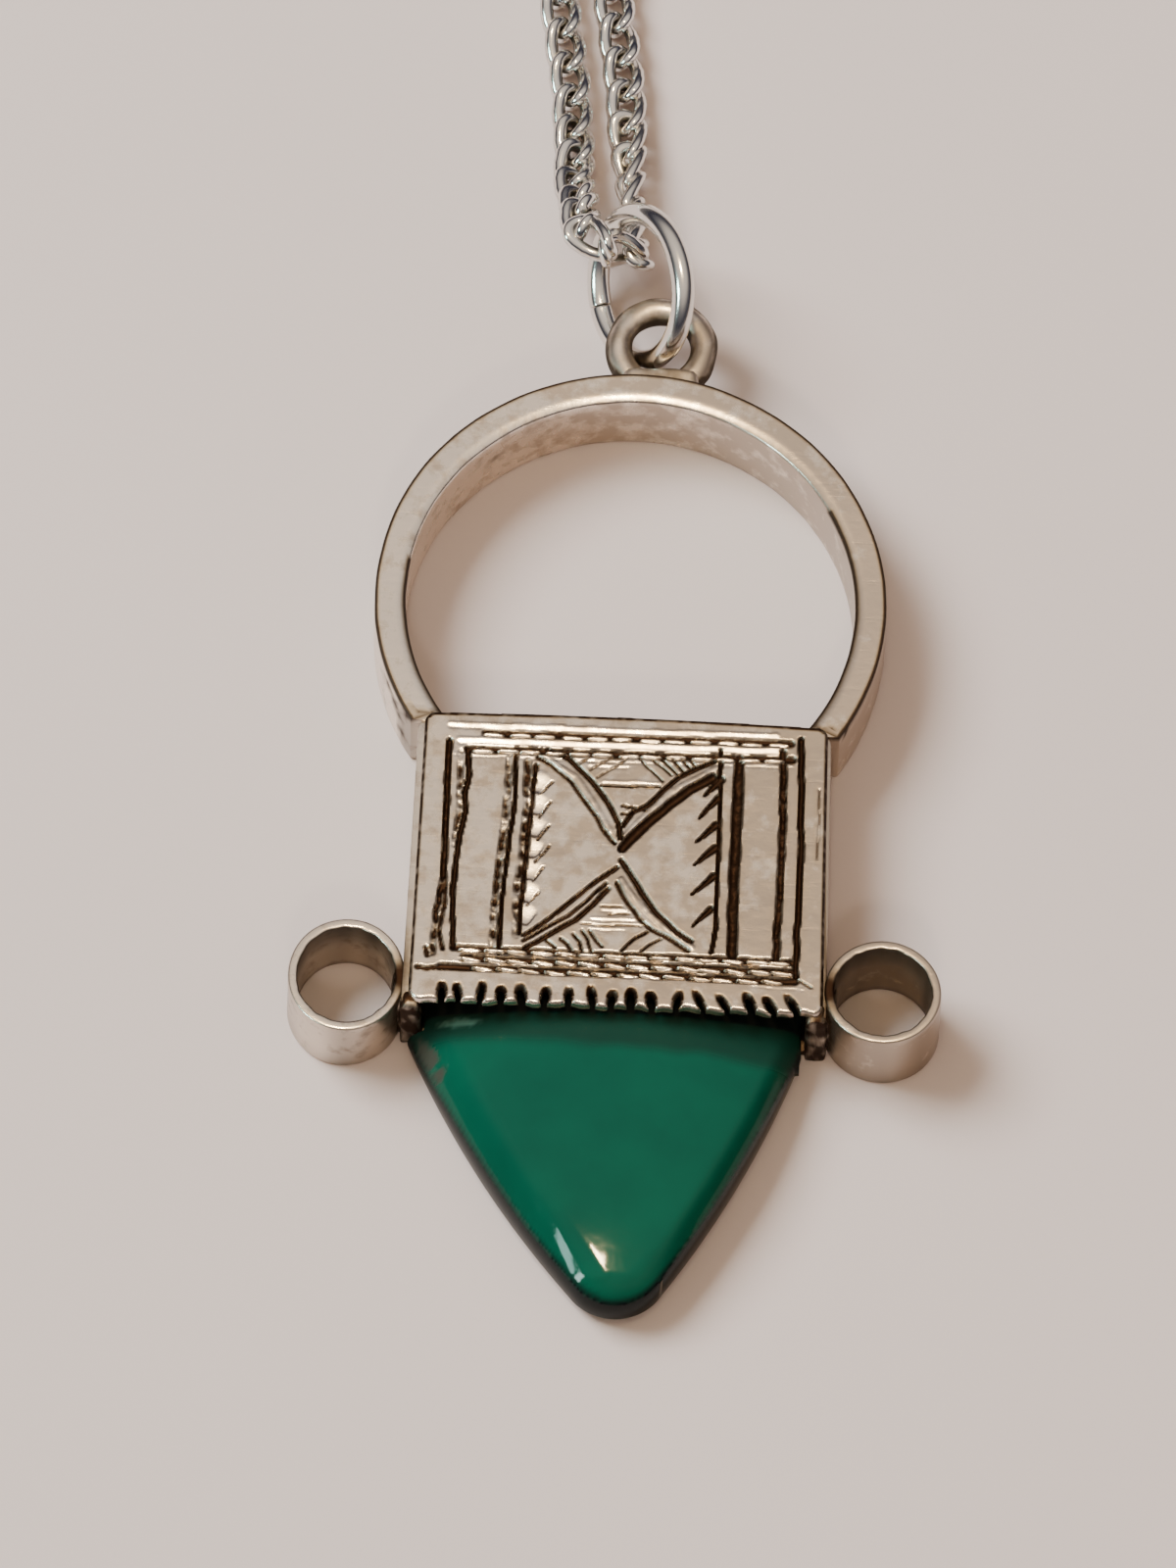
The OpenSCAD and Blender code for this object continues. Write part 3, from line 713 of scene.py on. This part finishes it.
def close_ends(bm):
    """Closes what is open, such as the ends of a bent bar or wire."""
    bmesh.ops.holes_fill(bm, edges=[e for e in bm.edges if e.is_boundary], sides=0)


def spun_section(corners, edge_r, steps, edge_steps=3):
    """A section with rounded corners, spun about the upright axis."""
    bm = bmesh.new()
    face = bm.faces.new([bm.verts.new((r, 0, z)) for r, z in corners])
    round_off(bm, list(face.verts), edge_r, edge_steps, "VERTICES")
    bmesh.ops.delete(bm, geom=list(bm.faces), context="FACES_ONLY")
    spin_about(bm, (0, 0, 1), steps)
    return bm


def cut_tall_faces(bm):
    """Divides the upright faces into rows, for the values painted on them."""
    tall = [e for e in bm.edges if abs(e.verts[0].co.z - e.verts[1].co.z) > 1]
    bmesh.ops.subdivide_edges(bm, edges=tall, cuts=FACE_CUTS, use_grid_fill=True)


def crosses_top(edge):
    """Whether an edge runs across the hoop's flat top."""
    start, end = (v.co for v in edge.verts)
    way = (start - end).xy.normalized()
    outward = (start - HOOP_MID).xy.normalized()
    high = min(start.z, end.z) > HOOP_D - 0.1
    return high and edge.calc_length() > HOOP_W / 2 - 0.05 and way.dot(outward) ** 2 > 0.9


rubbed_silver = silver_finish("rubbed_silver", (0.9, 0.81, 0.725, 1), (0.57, 0.485, 0.415, 1))
hoop_in = HOOP_R - HOOP_W
hoop = spun_section(((hoop_in, 0), (HOOP_R, 0), (HOOP_R, HOOP_D), (hoop_in + INNER_BEVEL_W, HOOP_D),
                     (hoop_in, HOOP_D - INNER_BEVEL_D)), HOOP_EDGE_R, HOOP_STEPS, 4)
shift(hoop, HOOP_MID)
bmesh.ops.bisect_plane(hoop, geom=list(hoop.verts) + list(hoop.edges) + list(hoop.faces),
                       plane_co=(0, HOOP_END_Y, 0), plane_no=(0, -1, 0), clear_outer=True)
close_ends(hoop)
cut_tall_faces(hoop)
bmesh.ops.subdivide_edges(hoop, edges=[e for e in hoop.edges if crosses_top(e)],
                          cuts=FACE_CUTS, use_grid_fill=True)
x, y, z = places(hoop)
outward = HOOP_SWELL * drift(x, y, 5, 0.4) + HOOP_RIPPLE * drift(x, y, 1.2, z)
upward = HOOP_TOP_SWELL * drift(x, y, 6, 8.1) * z / HOOP_D
for v, out, up in zip(hoop.verts, outward, upward):
    v.co += Vector((v.co.x, v.co.y - HOOP_MID.y, 0)).normalized() * out
    v.co.z += up
pits_and_shade = np.zeros(len(x))
for px, py, pz, pr in PITS_AND_SHADE_SPOTS:
    away = np.sqrt((x - px) ** 2 + (y - py) ** 2 + (z - pz) ** 2)
    pits_and_shade = np.maximum(pits_and_shade, fade(away / pr, 1.4, 0.4))
foot = fade(abs(y - FOOT_LINE_Y), 0.25, 0) * (z > 3.5)
around_r = np.hypot(x, y - HOOP_MID.y)
outer_line = fade(around_r, HOOP_R - EDGE_LINE_W, HOOP_R - EDGE_LINE_W + 0.1)
outer_line *= z > HOOP_D - HOOP_EDGE_R - 0.02
inner_line = fade(around_r, hoop_in + EDGE_LINE_W, hoop_in + EDGE_LINE_W - 0.1)
inner_line *= (z > HOOP_D - EDGE_LINE_D) * (y < np.where(x < 0, *INNER_LINE_ENDS))
lined = np.maximum(outer_line, inner_line) * DARK_LINE
# painted shade on the outer wall of the left end, and on the inner face, darker towards the right
left_end = LEFT_END_SHADE * fade(y, 8.7, 8.1) * (around_r > HOOP_R - 0.5) * (x < 0)
inner_face = INNER_FACE_SHADE * (around_r < hoop_in + 0.02) * (1 + x / 12)
paint(hoop, "oxide_and_shade", np.max([pits_and_shade, foot, lined, left_end, inner_face], axis=0))
face_outwards(hoop)
finish_piece(hoop, "hoop", rubbed_silver, "aged_silver", "pendant_frame")


# Side tubes
# Two short lengths of thin tube, slightly squeezed and rough at the rim, stand beside the
# box's lower corners as the cross's arms. Each is held by a pillow of solder that runs on
# below the plate's corner, and its seam faces the plate.

TUBE_OUT = 2.75
TUBE_IN = 2.3
TUBE_X = 12.7
TUBE_Y = -5.95
TUBE_EDGE_R = 0.12
TUBE_STEPS = 96
TUBE_SQUEEZE = 0.012
TUBE_DENTS = 0.01
TUBE_LEAN = 0.05
RIM_BURR = 0.025
TUBE_SEAM_TURN = 3
TUBE_SEAM_HALF_W = 4
TUBE_INSIDE = 0.45
TUBE_OUTSIDE = 0.24
DARKER_INSIDE = 0.3
STREAK_TURNS = (140, 152)
PILLOW_SIZE = (1.1, 2.5, 3.5)
PILLOW_AT = (9.98, TUBE_Y, 1.75)
CRUST_SIZE = (1, 1.1, 4.4)
CRUST_AT = (9.6, -7.1, 2)
# name, side, height and how much deeper than wide it is
TUBES = (("left_tube", -1, 4.0, 1.07), ("right_tube", 1, 4.5, 0.98))
WEAR_SEED = 5


def solder_lump(size, place, cuts, rounds):
    """A soft lump: a block that is divided and smoothed some times over."""
    bm = bmesh.new()
    bmesh.ops.create_cube(bm, size=1)
    bmesh.ops.scale(bm, vec=size, verts=bm.verts)
    bmesh.ops.subdivide_edges(bm, edges=list(bm.edges), cuts=cuts, use_grid_fill=True)
    for _ in range(rounds):
        bmesh.ops.smooth_vert(bm, verts=bm.verts, factor=0.6, use_axis_x=True,
                              use_axis_y=True, use_axis_z=True)
    shift(bm, place)
    return bm


# without a seed, the dents and lumps from here on would differ each time
noise.seed_set(WEAR_SEED)
for name, side, tall, oval in TUBES:
    tube = spun_section(((TUBE_IN, 0), (TUBE_OUT, 0), (TUBE_OUT, tall), (TUBE_IN, tall)),
                        TUBE_EDGE_R, TUBE_STEPS)
    cut_tall_faces(tube)
    around_r = np.array([v.co.xy.length for v in tube.verts])
    for v in tube.verts:
        turn = math.atan2(v.co.y, v.co.x)
        if v.co.z > tall - 0.13 and v.co.xy.length < TUBE_IN + 0.2:
            ragged = noise.noise((6 * math.cos(turn), 6 * math.sin(turn), side))
            v.co.xy *= 1 + RIM_BURR * ragged
        dent = noise.noise((turn, side, v.co.z / 4))
        v.co.xy *= 1 + TUBE_SQUEEZE * math.cos(2 * turn + side) + TUBE_DENTS * dent
        v.co.y *= oval
        v.co.z += TUBE_LEAN * math.sin(turn + side) * v.co.z / tall
    shift(tube, (side * TUBE_X, TUBE_Y, 0))
    x, y, z = places(tube)
    turn = np.degrees(np.arctan2(y - TUBE_Y, -side * (x - side * TUBE_X)))
    # painted shade inside, over some oxide: darkest below the rim, at the board and along the right
    # tube's far side
    dark = fade(z, tall - 1.9, tall - 0.7) + fade(z, 0.5, 0)
    streak = fade(abs(turn), *STREAK_TURNS) * (side > 0)
    inside = TUBE_INSIDE - 0.06 * side + 0.2 * drift(x, y, 0.9, 5.3)
    inside = (inside + DARKER_INSIDE * np.maximum(dark, streak)) * (around_r < TUBE_IN + 0.03)
    # painted shade on the side of the tube that faces the box
    hidden = fade(np.hypot(x - side * 10.1, (y - TUBE_Y) * 0.7), 1.35, 0.35)
    seam = fade(abs(turn - TUBE_SEAM_TURN), TUBE_SEAM_HALF_W, 0)
    # tarnish outside, with painted shade low down by the board
    outer_tarnish_and_shade = TUBE_OUTSIDE - 0.08 * side + 0.25 * drift(x, y, 1.1, 3.3)
    outer_tarnish_and_shade = (outer_tarnish_and_shade + 0.2 * fade(z, 1.6, 0)) * (around_r > TUBE_OUT - 0.03)
    paint(tube, "oxide_and_shade", np.max([hidden, inside, outer_tarnish_and_shade, seam], axis=0))
    face_outwards(tube)
    finish_piece(tube, name, aged_silver, "aged_silver", "pendant_frame")

    solder = solder_lump(PILLOW_SIZE, (side * PILLOW_AT[0], *PILLOW_AT[1:]), 7, 6)
    add_part(solder, solder_lump(CRUST_SIZE, (side * CRUST_AT[0], *CRUST_AT[1:]), 7, 5))
    for v in solder.verts:
        v.co += 0.14 * noise.noise_vector(v.co / 0.9) + 0.04 * noise.noise_vector(v.co / 0.3)
        v.co.z = max(v.co.z, 0)
    paint(solder, "oxide_and_shade", [0.95 + 0.9 * noise.noise(v.co * 2.6) for v in solder.verts])
    finish_piece(solder, name + "_solder", aged_silver, "aged_silver", "pendant_frame")


# Eye
# A thick little ring of round wire on top of the hoop, dark with old tarnish, sitting in a
# saddle of solder. The jump ring goes through it.

EYE_AT = Vector((1, 28.6, 2.5))
EYE_R = 2.05
EYE_WIRE_R = 0.65
EYE_WEAR = 0.07
EYE_STAIN = 0.92
SADDLE_SIZE = (3.6, 1.5, 1.9)
SADDLE_AT = (1, 26.5, 2.5)
SADDLE_BOW = 0.04
SADDLE_LUMPS = 0.08


def wire_ring(ring_r, wire_r, steps, wire_steps, angle=2 * math.pi):
    """A ring of round wire about the upright axis, or an arc of one with closed ends."""
    bm = bmesh.new()
    bmesh.ops.create_circle(bm, cap_ends=False, segments=wire_steps, radius=wire_r,
                            matrix=Matrix.Translation((ring_r, 0, 0))
                            @ Matrix.Rotation(math.pi / 2, 4, "X"))
    spin_about(bm, (0, 0, 1), steps, angle)
    if angle < 2 * math.pi:
        close_ends(bm)
    face_outwards(bm)
    return bm


eye_silver = silver_finish("tarnished_silver", (0.76, 0.67, 0.59, 1), (0.46, 0.39, 0.33, 1),
                           (0.32, 0.42), (0.045, 0.03, 0.022, 1), scales=(700, 420))
eye = wire_ring(EYE_R, EYE_WIRE_R, 84, 28)
shift(eye, EYE_AT)
for v in eye.verts:
    v.co += EYE_WEAR * noise.noise_vector(v.co / 1.3)
away = np.array([abs((v.co - EYE_AT).xy.length - EYE_R) for v in eye.verts])
patches = np.array([noise.noise(v.co * 1.6) for v in eye.verts])
paint(eye, "oxide_and_shade", ((away - 0.45) / 0.12 + 0.1 + 1.2 * patches).clip(0, 1) * EYE_STAIN)
finish_piece(eye, "eye", eye_silver, "aged_silver", "pendant_frame")

saddle = solder_lump(SADDLE_SIZE, SADDLE_AT, 9, 5)
for v in saddle.verts:
    v.co.y -= SADDLE_BOW * (v.co.x - SADDLE_AT[0]) ** 2
    v.co += SADDLE_LUMPS * noise.noise_vector(v.co / 0.9)
paint(saddle, "oxide_and_shade", [0.3 + 0.6 * noise.noise(v.co * 1.1) for v in saddle.verts])
finish_piece(saddle, "eye_solder", eye_silver, "aged_silver", "pendant_frame")


# Stone
# A triangular drop of deep green glass-like stone with a low dome, cut flat at the back. Its
# top goes under the plate's lip, with grey remains of the old cement along that edge.

STONE_W = 18.8
STONE_L = 14.1
STONE_SIDE_R = 50
STONE_TIP_R = 2.6
STONE_TIP_TURN = math.radians(34)
STONE_TURN = math.radians(3.5)
STONE_SHIFT = 0.15
STONE_TOP_Y = -7.7
STONE_MID_Y = -13
STONE_BACK_Z = 0.6
STONE_TOP_Z = 4.0
STONE_CORNER_R = 0.3
DOME_R = 30
DOME_Y = -12.5
DOME_SWELL = 0.02
STONE_EDGE_W = 1.5
STONE_EDGE_DROP = 1
TANG_HALF_W = 8.9
TANG_L = 3.4
TANG_LAP = 1
STONE_CELL = 0.16
BACK_BORDER_W = 0.3
LIP_SHADE = 0.75
LIP_SHADE_LEAN = 0.045
RIGHT_SHADE = 0.45
GIRDLE_W = 0.12
STONE_GREENS = ((0.3, (0.0003, 0.067, 0.038, 1)), (0.5, (0.0004, 0.077, 0.043, 1)),
                (0.72, (0.0007, 0.093, 0.05, 1)))
# what is painted over the green, in its order, and in what colour: painted shade under the lip
# and on the right edge, a pale film, old cement, and painted shade at the rim and in the box
STONE_STAINS_AND_SHADES = (("painted_shade", (0.004, 0.022, 0.016, 1)), ("pale_film", (0.07, 0.17, 0.125, 1)),
                ("cement", (0.045, 0.05, 0.037, 1)), ("painted_rim_shade", (0.006, 0.009, 0.009, 1)))
STONE_ROUGH = (0.07, 0.7)

tip_mid = np.array((0, STONE_TIP_R - STONE_L))
shoulder = np.array((STONE_W / 2, 0))
tip_way = np.array((math.cos(STONE_TIP_TURN), -math.sin(STONE_TIP_TURN)))
tip_start = tip_mid + STONE_TIP_R * tip_way
chord = shoulder - tip_start
bow = math.sqrt(STONE_SIDE_R ** 2 - chord @ chord / 4)
side_mid = (shoulder + tip_start) / 2 + bow * np.array((-chord[1], chord[0])) / np.hypot(*chord)


def stone_sides(x, y):
    """How far each place lies inside the stone's two curved sides and its tip."""
    c, s = math.cos(STONE_TURN), math.sin(STONE_TURN)
    u = abs(c * (x + STONE_SHIFT) + s * (y - STONE_TOP_Y))
    v = -s * (x + STONE_SHIFT) + c * (y - STONE_TOP_Y)
    sides = STONE_SIDE_R - np.hypot(u - side_mid[0], v - side_mid[1])
    tip = STONE_TIP_R - np.hypot(u - tip_mid[0], v - tip_mid[1])
    return np.where(v < tip_start[1], tip, sides)


def stone_inside(x, y):
    """How far each place lies inside the stone's outline with its hidden tang."""
    drop = rounded_corner(stone_sides(x, y), STONE_TOP_Y - y, STONE_CORNER_R)
    tang = np.minimum(TANG_HALF_W - abs(x), STONE_TOP_Y + TANG_L - y)
    tang = np.minimum(tang, y - STONE_TOP_Y + TANG_LAP)
    return np.maximum(drop, tang)


def crumbled(mask, broken, gain, loss):
    """A mask with ragged holes and edges."""
    return (mask * (1 + broken).clip(0, 2) * gain - loss).clip(0, 1)


sheet_size = (STONE_W + 1, STONE_L + TANG_L + 1)
stone = trimmed_sheet(sheet_size, (0, STONE_MID_Y), STONE_CELL, stone_inside)
x, y, _ = places(stone)
depth = stone_sides(x, y)
dome = STONE_TOP_Z - DOME_R + np.sqrt(DOME_R ** 2 - x ** 2 - (y - DOME_Y) ** 2)
# the left side is rounded more than the right one, and the tip less
lopsided = (x / 3).clip(-1, 1)
edge_drop = STONE_EDGE_DROP - 0.2 * lopsided - 0.4 * ((-17.5 - y) / 3).clip(0, 1)
edge_w = STONE_EDGE_W - 0.4 * lopsided
dome += DOME_SWELL * drift(x, y, 3.5, 2.2) - edge_drop * (1 - depth / edge_w).clip(0, 1) ** 2
for v, z in zip(stone.verts, dome):
    v.co.z = z
close_below(stone, STONE_BACK_Z)
# the flat back gets a border, so that what is painted on the sides ends there
flat_back = [f for f in stone.faces if max(v.co.z for v in f.verts) < STONE_BACK_Z + 0.01]
bmesh.ops.inset_region(stone, faces=flat_back, thickness=BACK_BORDER_W, depth=0,
                       use_even_offset=True)
x, y, z = places(stone)
depth = stone_sides(x, y)
above_back = z > STONE_BACK_Z + 0.01
# painted shade below the plate's lip and along the stone's right edge
flow = LIP_SHADE_LEAN * x + 0.2 * drift(x, y, 1.6, 4.4)
under_lip = LIP_SHADE * fade(y + flow, -9.35, -8.65)
right_edge = RIGHT_SHADE * fade(depth, 1.5, 0) * (x > 0) * fade(y, -12, -9)
paint(stone, "painted_shade", np.maximum(under_lip, right_edge) * above_back)
# painted shade along the stone's rim, and black where the stone goes into the box under the lip
girdle_w = GIRDLE_W + 0.05 * (x < 0) + 0.12 * fade(y, -18, -21)
in_box = fade(y, LIP_Y + 0.02, LIP_Y + 0.22) * above_back
paint(stone, "painted_rim_shade", np.maximum(fade(depth / girdle_w, 1.5, 0.5), in_box))
# cement along the upper left edge and at the right corner
crust = fade(abs(depth - 0.4), 0.5, 0) * fade(abs(y + 9.3), 1.6, 0) * (x < 0)
crust = np.maximum(crust, fade(np.hypot((x - 9) / 0.5, (y + 8.7) / 1.2), 0.8, -0.2))
crust = crumbled(crust, 1.6 * drift(x, y, 0.45, 6.6), 4, 0.5)
paint(stone, "cement", crust * above_back)
# a smear of pale film below the plate's lower left corner
film = fade(np.hypot((x + 7.3) / 1.5, (y + 7.65) / 0.36), 1, 0)
paint(stone, "pale_film", crumbled(film, 0.8 * drift(x, y, 0.25, 5.1), 3.2, 0.8))

green_stone, tree, shader = new_finish("green_stone")
place = add_node(tree, "ShaderNodeTexCoord").outputs["Object"]
clouds = add_node(tree, "ShaderNodeTexNoise", {
    "Vector": place, "Scale": 160, "Detail": 4, "Roughness": 0.55})
colour = add_ramp(tree, clouds.outputs["Fac"], STONE_GREENS)
for name, tone in STONE_STAINS_AND_SHADES:
    colour = blend_colours(tree, painted(tree, name), colour, tone)
dull = add_share(tree, painted(tree, "painted_shade"), 0.8, painted(tree, "cement"))
rough = add_spread(tree, dull, *STONE_ROUGH)
set_inputs(tree, shader, {"Base Color": colour, "Roughness": rough, "IOR": 1.52,
                          "Specular IOR Level": 0.12, "Transmission Weight": 0.1})
waves = add_node(tree, "ShaderNodeTexNoise", {"Vector": place, "Scale": 800, "Detail": 2})
add_bump(tree, shader, waves.outputs["Fac"], 0.35, 0.03)
finish_piece(stone, "green_stone", green_stone, "green_stone", "stone", sharp=50)


# Jump ring
# Heavy round silver wire bent to a ring, with its cut ends pressed together at the left. It
# is new and brightly polished, and leans in the eye with its low side on the board.

RING_R = 3.55
RING_WIRE_R = 0.54
RING_AT = Vector((-0.12, 31.3, 3.71))
RING_LEAN = math.radians(62.5)
RING_WAY = math.radians(203)
SEAM_TURN = math.radians(342.5)
SEAM_OPEN = math.radians(0.8)
RING_END_R = 0.06
RING_WEAR = 0.025

polished_silver = silver_finish("polished_silver", (0.86, 0.84, 0.81, 1), (0.8, 0.77, 0.73, 1),
                                (0.1, 0.17), (0.03, 0.025, 0.022, 1), 0.004, (300, 500))
ring = wire_ring(RING_R, RING_WIRE_R, 180, 40, 2 * math.pi - SEAM_OPEN)
ends = [e for e in ring.edges if e.calc_face_angle(0) > math.radians(60)]
round_off(ring, ends, RING_END_R, 2)
turned = (Matrix.Translation(RING_AT) @ Matrix.Rotation(RING_WAY, 4, "Z")
          @ Matrix.Rotation(RING_LEAN, 4, "Y")
          @ Matrix.Rotation(SEAM_TURN + SEAM_OPEN / 2, 4, "Z"))
for v in ring.verts:
    v.co += RING_WEAR * noise.noise_vector(v.co / 2.2)
bmesh.ops.transform(ring, matrix=turned, verts=ring.verts)
paint(ring, "oxide_and_shade", [0] * len(ring.verts))
finish_piece(ring, "jump_ring_wire", polished_silver, "polished_silver", "jump_ring")


# Chain
# A machine-made curb chain of round wire: each link is an oval twisted a quarter turn, so
# that the chain lies flat. It runs round the jump ring's wire and back, and up to the clasp.

LINK_WIRE_R = 0.33
LINK_W = 2.05
LINK_PITCH = 1.85
LINK_TWIST = math.radians(49)
LINK_BOW_SHARE = 0.35
CHAIN_Z = 0.8
SIDE_LINKS = 113
STRAND_AT = (-2.5, 43.15)
STRAND_GAP = 2.6
LOOP_LEAN = math.radians(9)
NECK_L = 6
SPREAD = math.radians(45)
SPREAD_R = 30
CLASP_HALF = 4.16
FINE_LINKS = 9
# the links beside the clasp stand up step by step, and all roll a little
RISING_LINKS = 4
RISE_TURN = 15
SWAY_TURN = 4

# the turn round the jump ring: each place where two links meet, and the roll of the link
# that follows it
TURN = (
    (-3.7, 41.2, 0.8, 0), (-3.5, 39.7, 1, 5), (-3.6, 38.3, 1.3, 10), (-3.3, 36.8, 2.2, 15),
    (-3.2, 35.7, 3.2, 15), (-3.1, 33.9, 4.4, 40), (-2, 33, 4.6, 70), (-0.3, 33.5, 2.6, 80),
    (-0.5, 34.8, 1.9, 85), (-0.7, 36.8, 1.3, 100), (-0.8, 38.2, 1, 120), (-0.95, 40, 0.85, 150),
    (-1.1, 41.6, 0.8, 170),
)

half_gap = STRAND_GAP / 2
side_total = SIDE_LINKS * LINK_PITCH + CLASP_HALF
bend_l = SPREAD_R * SPREAD
arc_turn = math.pi / 2 + SPREAD
bend_x = half_gap + SPREAD_R * (1 - math.cos(SPREAD))
side_l = ((side_total - NECK_L - bend_l - arc_turn * bend_x / math.cos(SPREAD))
          / (1 + arc_turn * math.tan(SPREAD)))
arc_r = (bend_x + side_l * math.sin(SPREAD)) / math.cos(SPREAD)
bend_end = Vector((bend_x, NECK_L + SPREAD_R * math.sin(SPREAD)))
outwards = Vector((math.sin(SPREAD), math.cos(SPREAD)))
arc_mid = bend_end + side_l * outwards + arc_r * Vector((-math.cos(SPREAD), math.sin(SPREAD)))


def loop_point(run, side):
    """A place on one side of the chain's loop, from its distance along the chain."""
    if run < NECK_L:
        p = Vector((half_gap, run))
    elif run < NECK_L + bend_l:
        t = (run - NECK_L) / SPREAD_R
        p = Vector((half_gap + SPREAD_R * (1 - math.cos(t)), NECK_L + SPREAD_R * math.sin(t)))
    elif run < NECK_L + bend_l + side_l:
        p = bend_end + (run - NECK_L - bend_l) * outwards
    else:
        t = (run - NECK_L - bend_l - side_l) / arc_r - SPREAD
        p = arc_mid + arc_r * Vector((math.cos(t), math.sin(t)))
    return leaned((side * p.x, p.y))


def leaned(p):
    """A place of the loop's own frame, turned about the strands as the chain lies."""
    c, s = math.cos(LOOP_LEAN), math.sin(LOOP_LEAN)
    return Vector((STRAND_AT[0] + p[0] * c - p[1] * s, STRAND_AT[1] + p[0] * s + p[1] * c, CHAIN_Z))


def twisted_link(steps, wire_steps):
    """One link: a ring of wire drawn out to an oval, then twisted a quarter turn."""
    bow_r = LINK_W / 2 - LINK_WIRE_R
    half_l = (LINK_PITCH + 4 * LINK_WIRE_R - LINK_W) / 2
    bm = wire_ring(bow_r, LINK_WIRE_R, steps, wire_steps)
    x, y, _ = places(bm)
    # the inner side of each link's wire is painted dark, as the shade between the interlocking links
    inward = (bow_r - np.hypot(x, y)) / LINK_WIRE_R
    paint(bm, "oxide_and_shade", fade(inward, 0.55, 1.05))
    for v in bm.verts:
        v.co.x += half_l * max(-1, min(1, v.co.x / (LINK_BOW_SHARE * bow_r)))
        v.co = Matrix.Rotation(LINK_TWIST * v.co.x / (half_l + bow_r), 3, "X") @ v.co
    mesh = bpy.data.meshes.new("link")
    bm.to_mesh(mesh)
    bm.free()
    return mesh


# the links near the pendant are round, and the many others have few faces
fine_link = twisted_link(36, 12)
plain_link = twisted_link(10, 5)


def add_link(bm, start, end, roll, mesh):
    """Places a link between two places, rolled about its own line."""
    run = end - start
    old = len(bm.verts)
    bm.from_mesh(mesh)
    bm.verts.ensure_lookup_table()
    placed = (Matrix.Translation((start + end) / 2)
              @ Matrix.Rotation(math.atan2(run.y, run.x), 4, "Z")
              @ Matrix.Rotation(-math.atan2(run.z, run.xy.length), 4, "Y")
              @ Matrix.Rotation(math.radians(roll), 4, "X"))
    bmesh.ops.transform(bm, matrix=placed, verts=bm.verts[old:])


def add_side(bm, side):
    """One side of the loop, from the turn to the clasp, where the last links stand up."""
    for k in range(SIDE_LINKS):
        roll = RISE_TURN * max(0, k + RISING_LINKS - SIDE_LINKS) + SWAY_TURN * math.sin(1.9 * k)
        add_link(bm, loop_point(k * LINK_PITCH, side), loop_point((k + 1) * LINK_PITCH, side),
                 roll, fine_link if k < FINE_LINKS else plain_link)


left_chain = bmesh.new()
joints = [Vector(row[:3]) for row in TURN]
joints = [loop_point(0, -1)] + joints + [loop_point(0, 1)]
rolls = [0] + [row[3] for row in TURN]
for start, end, roll in zip(joints, joints[1:], rolls):
    add_link(left_chain, start, end, roll, fine_link)
add_side(left_chain, -1)
right_chain = bmesh.new()
add_side(right_chain, 1)
for bm, name, node in ((left_chain, "left_curb_chain", "chain_left"),
                       (right_chain, "right_curb_chain", "chain_right")):
    finish_piece(bm, name, polished_silver, "polished_silver", node)


# Clasp
# The chain closes at the top of its loop with a plain turned barrel, an eye at each end for
# the last link. It is polished as the chain is.

BARREL_R = 0.8
BARREL_L = 6
BARREL_END_R = 0.55
BARREL_CHAMFER = 0.3
GROOVE_HALF_W = 0.25
GROOVE_R = 0.7
CLASP_EYE_R = 0.85
CLASP_EYE_WIRE_R = 0.3

top = leaned((0, arc_mid.y + arc_r))
clasp = bmesh.new()
# half the barrel's profile, from its end to its middle groove
half = ((BARREL_L / 2, 0), (BARREL_L / 2, BARREL_END_R), (BARREL_L / 2 - BARREL_CHAMFER, BARREL_R),
        (GROOVE_HALF_W + 0.1, BARREL_R), (GROOVE_HALF_W, GROOVE_R))
profile = [clasp.verts.new((-x, 0, r)) for x, r in half]
profile += [clasp.verts.new((x, 0, r)) for x, r in reversed(half)]
for start, end in zip(profile, profile[1:]):
    clasp.edges.new((start, end))
spin_about(clasp, (1, 0, 0), 40)
bmesh.ops.remove_doubles(clasp, verts=clasp.verts, dist=0.001)
face_outwards(clasp)
for side in (-1, 1):
    end_eye = wire_ring(CLASP_EYE_R, CLASP_EYE_WIRE_R, 36, 14)
    shift(end_eye, (side * (BARREL_L / 2 + CLASP_EYE_R), 0, 0))
    add_part(clasp, end_eye)
bmesh.ops.transform(clasp, matrix=Matrix.Translation(top) @ Matrix.Rotation(LOOP_LEAN, 4, "Z"),
                    verts=clasp.verts)
paint(clasp, "oxide_and_shade", [0] * len(clasp.verts))
finish_piece(clasp, "clasp_barrel", polished_silver, "polished_silver", "clasp")
